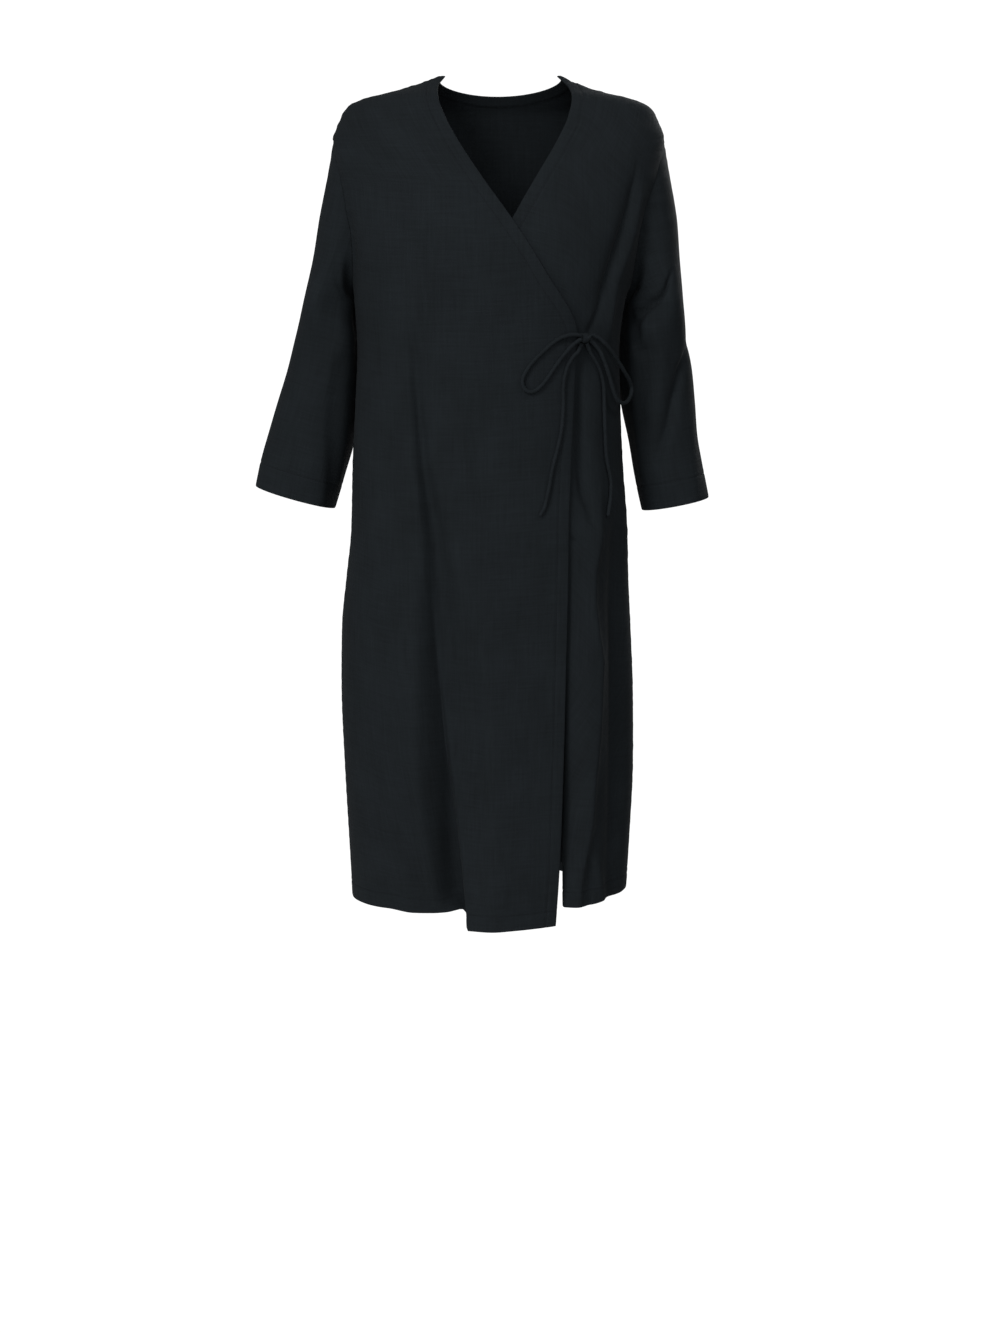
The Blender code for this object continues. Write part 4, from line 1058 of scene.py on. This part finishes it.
def stitches(name, path, outward, spacing, thickness, material, sides=6):
    """A run of stitches along a path on the cloth. Each one arches over the cloth and dips into it at both ends."""
    run = run_from(path, 0)
    count = int(run[-1] / spacing)
    middle = (np.arange(count) + 0.5) * run[-1] / count
    half_stitch = 0.42 * spacing
    around = np.arange(sides) * 2 * math.pi / sides
    read = lambda values, at: np.stack([np.interp(at, run, values[:, k]) for k in range(3)], axis=-1)
    points, uv = [], []
    for share in (-1.0, -0.72, -0.25, 0.25, 0.72, 1.0):
        at = np.clip(middle + share * half_stitch, 0.0, run[-1])
        up = unit(read(outward, at))
        ahead = unit(read(path, np.minimum(at + 1e-3, run[-1])) - read(path, np.maximum(at - 1e-3, 0.0)))
        side = unit(np.cross(ahead, up))
        centre = read(path, at) + up * thickness * (0.25 - 0.75 * share**4)
        radius = thickness / 2 * (1.0 if abs(share) < 0.9 else 0.55)
        points.append(np.stack([centre + radius * (math.cos(a) * side + math.sin(a) * up) for a in around], axis=1))
        uv.append(np.stack([np.stack((np.full(count, a * radius), at), -1) for a in around], axis=1))
    ids = np.arange(len(points) * sides).reshape(-1, sides)
    one = ring_faces(ids, flipped=True)
    faces = [[i + k * ids.size for i in face] for k in range(count) for face in one]
    corners = np.stack(uv, axis=1).reshape(-1, 2)[np.concatenate(faces)]
    return shown(name, np.stack(points, axis=1).reshape(-1, 3), faces, corners, material)


# ---------------------------------------------------------------- ties


def tree_of(piece):
    mesh = piece.data
    mesh.calc_loop_triangles()
    return BVHTree.FromPolygons([v.co[:] for v in mesh.vertices], [t.vertices[:] for t in mesh.loop_triangles])


def on_front(x, drop, stand_off):
    """A point this far off the front of the dress."""
    return body_face(around_at_x(x, drop), np.asarray(drop, float), -np.asarray(stand_off, float))


def laid(x, drop, reach, cloth):
    """The middle of something of this radius that lies on the cloth, and the way out of the cloth."""
    point = on_front(x, drop, 0.014)  # clear of the folds, from where it moves in
    outward = unit(point - on_front(x, drop, 0.0))
    for _ in range(12):
        nearest = min(tree.find_nearest(point)[3] for tree in cloth)
        point = point - outward * (nearest - reach)
    return point, outward


def off_knot(point, knot, gap):
    """The first two points of a cord that leaves the knot straight toward a point."""
    way = unit(point - knot)
    start = knot + way * (1 / np.linalg.norm(way / np.array(KNOT_SIZE)) + gap)
    return start, start + way * TIE_STRAIGHT


def curve_through(rows, spacing):
    """Even places along a smooth curve through the rows."""
    ends = np.vstack((2 * rows[0] - rows[1], rows, 2 * rows[-1] - rows[-2]))
    places = []
    for k in range(len(rows) - 1):
        before, start, end, after = ends[k : k + 4]
        steps = max(1, round(np.linalg.norm(end - start) / spacing))
        for t in np.arange(steps) / steps:
            bend = t * t * (before - 2.5 * start + 2 * end - 0.5 * after)
            last = t**3 * (1.5 * (start - end) + 0.5 * (after - before))
            places.append(start + 0.5 * t * (end - before) + bend + last)
    return np.array([*places, rows[-1]])


def tie_path(route, reach, gap, cloth, knot, is_loop):
    """The middle line of a tie that is laid on the cloth, with this reach from its middle to the cloth."""
    points = []
    for x, drop, lift in curve_through(np.array(route) / 1000, TIE_POINT_SPACING):
        point, outward = laid(x, drop, reach, cloth)
        points.append(point + outward * lift)
    points[:1] = off_knot(points[0], knot, gap)
    if is_loop:
        points[-1:] = reversed(off_knot(points[-1], knot, gap))
    path = curve_through(np.array(points), TIE_RING_SPACING)
    for _ in range(2):
        for point in path:
            near, _, _, away = min((tree.find_nearest(point) for tree in cloth), key=lambda hit: hit[3])
            if away < reach:
                point += unit(point - np.array(near)) * (reach - away)
    return path


def tube(name, path, radius, material, bare_end, sides=16):
    """A round cord with its own cloth coordinates: round it, and along it."""
    ahead = unit(np.gradient(path, axis=0))
    side = [unit(np.cross(ahead[0], (0.0, 0.0, 1.0)))]
    for way in ahead[1:]:
        side.append(unit(side[-1] - way * np.dot(side[-1], way)))
    side = np.array(side)
    up = np.cross(ahead, side)
    run = run_from(path, 0)
    # It swells and narrows by a few percent, every 21 and 8.3 mm.
    turns = run * 2 * math.pi
    width = radius * (1 + 0.035 * np.sin(turns / 0.021) + 0.02 * np.sin(turns / 0.0083 + 1.0))
    if bare_end:
        width = width * np.maximum(1 + rolled(run[-1] - run, 1.0, radius) * 0.75, 0.12)
    around = np.linspace(0, 2 * math.pi, sides + 1)
    circle = np.cos(around)[:-1, None] * side[:, None] + np.sin(around)[:-1, None] * up[:, None]
    rings = path[:, None] + width[:, None, None] * circle
    # The coordinates run on round the cord, so each ring of them has one place more than it has points.
    uv = np.stack(np.broadcast_arrays(around * radius, run[:, None]), axis=-1)
    quads = np.stack((uv[:-1, :-1], uv[:-1, 1:], uv[1:, 1:], uv[1:, :-1]), axis=2).reshape(-1, 2)
    corners = np.concatenate((quads, uv[0, -2::-1], uv[-1, :-1]))
    ids = np.arange(len(path) * sides).reshape(-1, sides)
    return shown(name, rings.reshape(-1, 3), ring_faces(ids), corners, material)


def knot_line():
    """The line of the cord that is wound over itself, as a trefoil, to make the bow's knot."""
    turns = np.linspace(0, 2 * math.pi, 121)[:-1]
    wide, deep, high = 0.93 * np.array(KNOT_SIZE) - KNOT_STRAND
    x = (np.sin(turns) + 2 * np.sin(2 * turns)) / 2.75 * wide
    y = -np.sin(3 * turns) * deep * 0.8
    line = np.stack((x, y, (np.cos(turns) - 2 * np.cos(2 * turns)) / 2.95 * high), axis=-1)
    return np.vstack((line, line[:1]))


# ---------------------------------------------------------------- helpers of the operators


def turned_in(distance, line):
    """1 where cloth is turned in between an edge and its stitching, and 0 beyond."""
    return ease((line + 0.0012 - distance) / 0.0020)


def pucker(along, distance, seed, height, reach):
    """Small uneven waves beside a seam, 8 to 30 mm long, which die away from it."""
    rng = np.random.default_rng(seed)
    waves = sum(
        rng.uniform(0.4, 1.0) * np.sin(2 * math.pi * along / rng.uniform(0.008, 0.030) + rng.uniform(0, 2 * math.pi))
        for _ in range(9)
    )
    return height * waves / 2.2 * ease(distance / 0.003) * np.exp(-distance / reach)


def across_from(points, middle):
    """Lengths across each row, from the line where x is a given value on that row."""
    run = run_from(points, 1)
    x = points[..., 0]
    found = []
    for k in range(len(points)):
        # The tuck folds back over itself, so its places are put in order.
        order = np.argsort(x[k])
        found.append(run[k] - np.interp(middle, x[k][order], run[k][order]))
    across = np.array(found)
    return across if x[len(x) // 2, -1] > x[len(x) // 2, 0] else -across


def the_material(name, make):
    return bpy.data.materials.get(name) or make(name)


def linen(name="woven_linen", turned=0.0):
    cloth = bpy.context.scene.dress_cloth
    return the_material(name, lambda made: woven_linen(made, cloth.yarn, tuple(cloth.dark), tuple(cloth.light), turned))


def bias_linen():
    return linen("bias_cut_linen", math.pi / 4)


def sew(name, node, outer, normal, distance, line, axis, end):
    """Sews along the line that lies a distance from an edge."""
    thread = bpy.context.scene.dress_thread
    material = the_material("spun_polyester_thread", lambda made: spun_polyester_thread(made, tuple(thread.tint)))
    path, outward = level(outer, distance, line, axis, end), unit(level(normal, distance, line, axis, end))
    piece = stitches(name, path, outward, thread.stitch, thread.thickness, material)
    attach(piece, "root")
    return piece


def put(piece, node):
    """Fixes a piece to the body, in place of the solid of this name."""
    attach(piece, "root")
    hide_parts(node)


def seam_rolled(distance, points):
    """The side seams sink a little. The shoulder and armhole seams are pressed flat."""
    return rolled(distance, np.where(-points[..., 2] < UNDERARM_DROP, 0.0001, 0.0004), 0.0016)


def edges_rolled(distance):
    return rolled(distance, 0.00045, 0.0012)


def thickness_at(edges):
    """The cloth's thickness: more where it is turned in, from each edge to its stitching, and less at the edge."""
    cloth = bpy.context.scene.dress_cloth
    turned = np.max([turned_in(distance, line) for distance, line in edges], axis=0)
    return cloth.thickness + cloth.turning * turned + sum(rolled(distance, 0.0006, 0.0010) for distance, _ in edges)


def make_cloth(node, points, turn, lift, across, edges, slanting, joined_from=None):
    """Makes a piece of cloth and sews along its turned edges.

    Each edge has its name, the distances from it, the distance to its stitching, and the axis and end it lies at.
    """
    lift = lift + sum(sewn(distance, line) + edges_rolled(distance) for _, distance, line, _, _ in edges)
    thick = thickness_at([(distance, line) for _, distance, line, _, _ in edges])
    uv = grain(points, across)
    piece, outer, normal = wall(node + "_cloth", points, turn, thick, lift, uv, linen(), slanting, joined_from)
    sewn_on = [sew(f"{node}_{name}_stitching", node, outer, normal, *edge) for name, *edge in edges]
    put(piece, node)


def make_front(node, points, turn, middle, seed):
    cloth = bpy.context.scene.dress_cloth
    edge, hem, seam = off_edge(points, 1, 1), run_from(points, 0, 1), off_edge(points, 1)
    down, over = run_from(points, 0), run_from(points, 1)
    lift = seam_rolled(seam, points) + pucker(down, seam, seed, *SEAM_PUCKER)
    lift += pucker(down, edge, seed + 1, *EDGE_PUCKER) + pucker(over, hem, seed + 2, *HEM_PUCKER)
    edges = (("edge", edge, cloth.edge_hem, 1, 1), ("hem", hem, cloth.bottom_hem, 0, 1))
    make_cloth(node, points, turn, lift, across_from(points, middle), edges, seam <= 0)


class MakeStage(bpy.types.Operator):
    """Adds the camera, the soft lights and the pale floor"""

    bl_idname = "wrap_dress.stage"
    bl_label = "Stage"

    def execute(self, context):
        stage = context.scene.dress_stage
        bpy.ops.object.select_all(action="DESELECT")
        bpy.ops.object.camera_add(location=CAMERA_PLACE, rotation=(CAMERA_TILT, 0, 0))
        camera = context.object
        camera.name = "camera"
        camera.data.sensor_width = SENSOR_MM
        camera.data.lens = LENS_MM
        camera.data.clip_end = 60.0
        camera.data.dof.use_dof = False
        context.scene.camera = camera
        context.scene.view_settings.view_transform = "Standard"
        bpy.ops.mesh.primitive_circle_add(vertices=96, radius=0.5, fill_type="NGON", location=(0, 0, -stage.floor_drop))
        floor = context.object
        floor.name = "floor"
        bpy.ops.object.transform_apply(location=True, rotation=True, scale=True)
        floor.data.materials.append(lit_floor("lit_white_acrylic", tuple(stage.floor_tint)))
        world = context.scene.world or bpy.data.worlds.new("surround")
        context.scene.world = world
        world.use_nodes = True
        tree = world.node_tree
        ground = tree.nodes["Background"]
        # The two sides light the folds unevenly, and the camera sees one even ground behind them.
        way = add_node(tree, "ShaderNodeTexCoord").outputs["Generated"]
        across = add_node(tree, "ShaderNodeSeparateXYZ", {0: way}).outputs[0]
        sides = {0: across, "From Min": -0.9, "From Max": 0.9, "To Min": stage.left, "To Max": stage.right}
        walls = add_node(tree, "ShaderNodeMapRange", sides).outputs[0]
        seen = add_node(tree, "ShaderNodeLightPath").outputs["Is Camera Ray"]
        power = add_node(tree, "ShaderNodeMix", {0: seen, 2: walls, 3: stage.surround}, data_type="FLOAT").outputs[0]
        set_inputs(tree, ground, {"Color": (1.0, 1.0, 1.0, 1.0), "Strength": power})
        for name, place, aim, width in LAMPS:
            self.lamp(context, name, place, aim, width, getattr(stage, name))
        return {"FINISHED"}

    def lamp(self, context, name, place, aim, width, power):
        bpy.ops.object.light_add(type="AREA", location=place)
        lamp = context.object
        lamp.name = name
        lamp.data.shape = "DISK"
        lamp.data.size = width
        lamp.data.energy = power
        away = np.array(place) - np.array(aim)
        lean = math.atan2(math.hypot(away[0], away[1]), away[2])
        lamp.rotation_euler = (lean, 0.0, math.atan2(away[0], -away[1]))


class MakeRightFront(bpy.types.Operator):
    """Makes the outer front of the wrap, with its stitching"""

    bl_idname = "wrap_dress.right_front"
    bl_label = "Right Front"

    def execute(self, context):
        make_front("right_front", right_front(), -1, -0.02, 101)
        return {"FINISHED"}


class MakeLeftFront(bpy.types.Operator):
    """Makes the under front of the wrap, with its stitching"""

    bl_idname = "wrap_dress.left_front"
    bl_label = "Left Front"

    def execute(self, context):
        make_front("left_front", left_front(), 1, 0.06, 111)
        return {"FINISHED"}


class MakeBack(bpy.types.Operator):
    """Makes the back, with its stitching"""

    bl_idname = "wrap_dress.back"
    bl_label = "Back"

    def execute(self, context):
        cloth = context.scene.dress_cloth
        points = back()
        neck = down = run_from(points, 0)
        hem, over = run_from(points, 0, 1), run_from(points, 1)
        first, last = off_edge(points, 1), off_edge(points, 1, 1)
        lift = seam_rolled(first, points) + seam_rolled(last, points) + pucker(over, hem, 123, *HEM_PUCKER)
        lift += pucker(down, first, 121, *SEAM_PUCKER) + pucker(down, last, 122, *SEAM_PUCKER)
        edges = (("neck", neck, cloth.edge_hem, 0, 0), ("hem", hem, cloth.bottom_hem, 0, 1))
        slanting = np.minimum(first, last) <= 0
        make_cloth("back", points, 1, lift, across_from(points, 0.0), edges, slanting)
        return {"FINISHED"}


class MakeSleeves(bpy.types.Operator):
    """Makes both sleeves, with their stitched cuffs"""

    bl_idname = "wrap_dress.sleeves"
    bl_label = "Sleeves"

    def execute(self, context):
        self.make("right_sleeve", -1, RIGHT_SLEEVE, RIGHT_SLEEVE_FOLDS, 131)
        self.make("left_sleeve", 1, LEFT_SLEEVE, LEFT_SLEEVE_FOLDS, 141)
        return {"FINISHED"}

    def make(self, node, side, lower, fold_rows, seed):
        points = sleeve(side, lower, fold_rows)
        cuff, head, over = run_from(points, 0, 1), run_from(points, 0), run_from(points, 1)
        seam = np.minimum(off_edge(points, 1), off_edge(points, 1, 1))
        is_open = (np.arange(len(points)) < SLEEVE_JOINED)[:, None]
        lift = seam_rolled(seam, points) + seam_rolled(head, points)
        lift += pucker(head, seam, seed, *SLEEVE_PUCKER) * is_open
        across = over - over[:, [len(SLEEVE_SHARES) // 2]]
        edges = (("cuff", cuff, bpy.context.scene.dress_cloth.cuff_hem, 0, 1),)
        slanting = (np.minimum(seam, head) <= 0) & is_open
        make_cloth(node, points, -side, lift, across, edges, slanting, SLEEVE_JOINED)


class MakeTies(bpy.types.Operator):
    """Makes the two ties' loops and tails and the knot between them"""

    bl_idname = "wrap_dress.ties"
    bl_label = "Ties"

    def execute(self, context):
        ties = context.scene.dress_ties
        cloth = [tree_of(bpy.data.objects[name]) for name in ("right_front_cloth", "left_front_cloth")]
        knot = self.knot(cloth, ties.gap)
        for node, route, is_loop in (
            ("left_tie_loop", LEFT_TIE_LOOP, True),
            ("right_tie_loop", RIGHT_TIE_LOOP, True),
            ("left_tie_tail", LEFT_TIE_TAIL, False),
            ("right_tie_tail", RIGHT_TIE_TAIL, False),
        ):
            path = tie_path(route, ties.diameter / 2 + ties.gap, ties.gap, cloth, knot, is_loop)
            piece = tube(node + "_cord", path, ties.diameter / 2, bias_linen(), not is_loop)
            put(piece, node)
            float(run_from(path, 0)[-1])
        return {"FINISHED"}

    def knot(self, cloth, gap):
        """Winds the strand round a ball of the same cloth, and moves both out until they lie on the cloth."""
        place = on_front(*KNOT_PLACE, 0.020)  # clear of the folds
        outward = unit(place - on_front(*KNOT_PLACE, 0.0))
        bpy.ops.object.select_all(action="DESELECT")
        bpy.ops.mesh.primitive_uv_sphere_add(segments=20, ring_count=12, radius=1.0)
        core = bpy.context.object
        core.scale = tuple(KNOT_CORE * s for s in KNOT_SIZE)
        bpy.ops.object.transform_apply(location=True, rotation=True, scale=True)
        wound = tube("knot_strand", knot_line(), KNOT_STRAND, bias_linen(), False, sides=12)
        shape = np.array([v.co[:] for v in wound.data.vertices])
        for _ in range(12):
            nearest = min(tree.find_nearest(corner)[3] for corner in shape + place for tree in cloth)
            place = place - outward * (nearest - gap)
        core.data.materials.append(bias_linen())
        bpy.ops.object.select_all(action="DESELECT")
        core.select_set(True)
        wound.select_set(True)
        bpy.context.view_layer.objects.active = wound
        for layer in list(core.data.uv_layers):
            layer.name = "cloth"
        bpy.ops.object.join()
        wound.name = "bow_knot_cord"
        for vert in wound.data.vertices:
            vert.co = np.array(vert.co) + place
        wound.data.shade_smooth()
        put(wound, "bow_knot")
        return place


class DRESS_PT_panel(bpy.types.Panel):
    """Lists the dress's pieces and their sizes"""

    bl_idname = "DRESS_PT_panel"
    bl_label = "Wrap Dress"
    bl_space_type = "VIEW_3D"
    bl_region_type = "UI"
    bl_category = "Wrap Dress"

    def draw(self, context):
        for operator in OPERATORS:
            self.layout.operator(operator.bl_idname)
        for name in GROUPS:
            box, group = self.layout.box(), getattr(context.scene, name)
            for key in group.bl_rna.properties.keys():
                if key not in ("rna_type", "name"):
                    box.prop(group, key)


OPERATORS = (MakeStage, MakeRightFront, MakeLeftFront, MakeBack, MakeSleeves, MakeTies)
GROUPS = {"dress_cloth": DressCloth, "dress_ties": DressTies, "dress_thread": DressThread, "dress_stage": DressStage}


def register():
    for kind in (*GROUPS.values(), *OPERATORS, DRESS_PT_panel):
        bpy.utils.register_class(kind)
    for name, kind in GROUPS.items():
        setattr(bpy.types.Scene, name, bpy.props.PointerProperty(type=kind))


def unregister():
    for name in GROUPS:
        delattr(bpy.types.Scene, name)
    for kind in reversed((*GROUPS.values(), *OPERATORS, DRESS_PT_panel)):
        bpy.utils.unregister_class(kind)


def main():
    register()
    for operator in OPERATORS:
        group, name = operator.bl_idname.split(".")
        getattr(getattr(bpy.ops, group), name)()


if __name__ == "__main__":
    main()
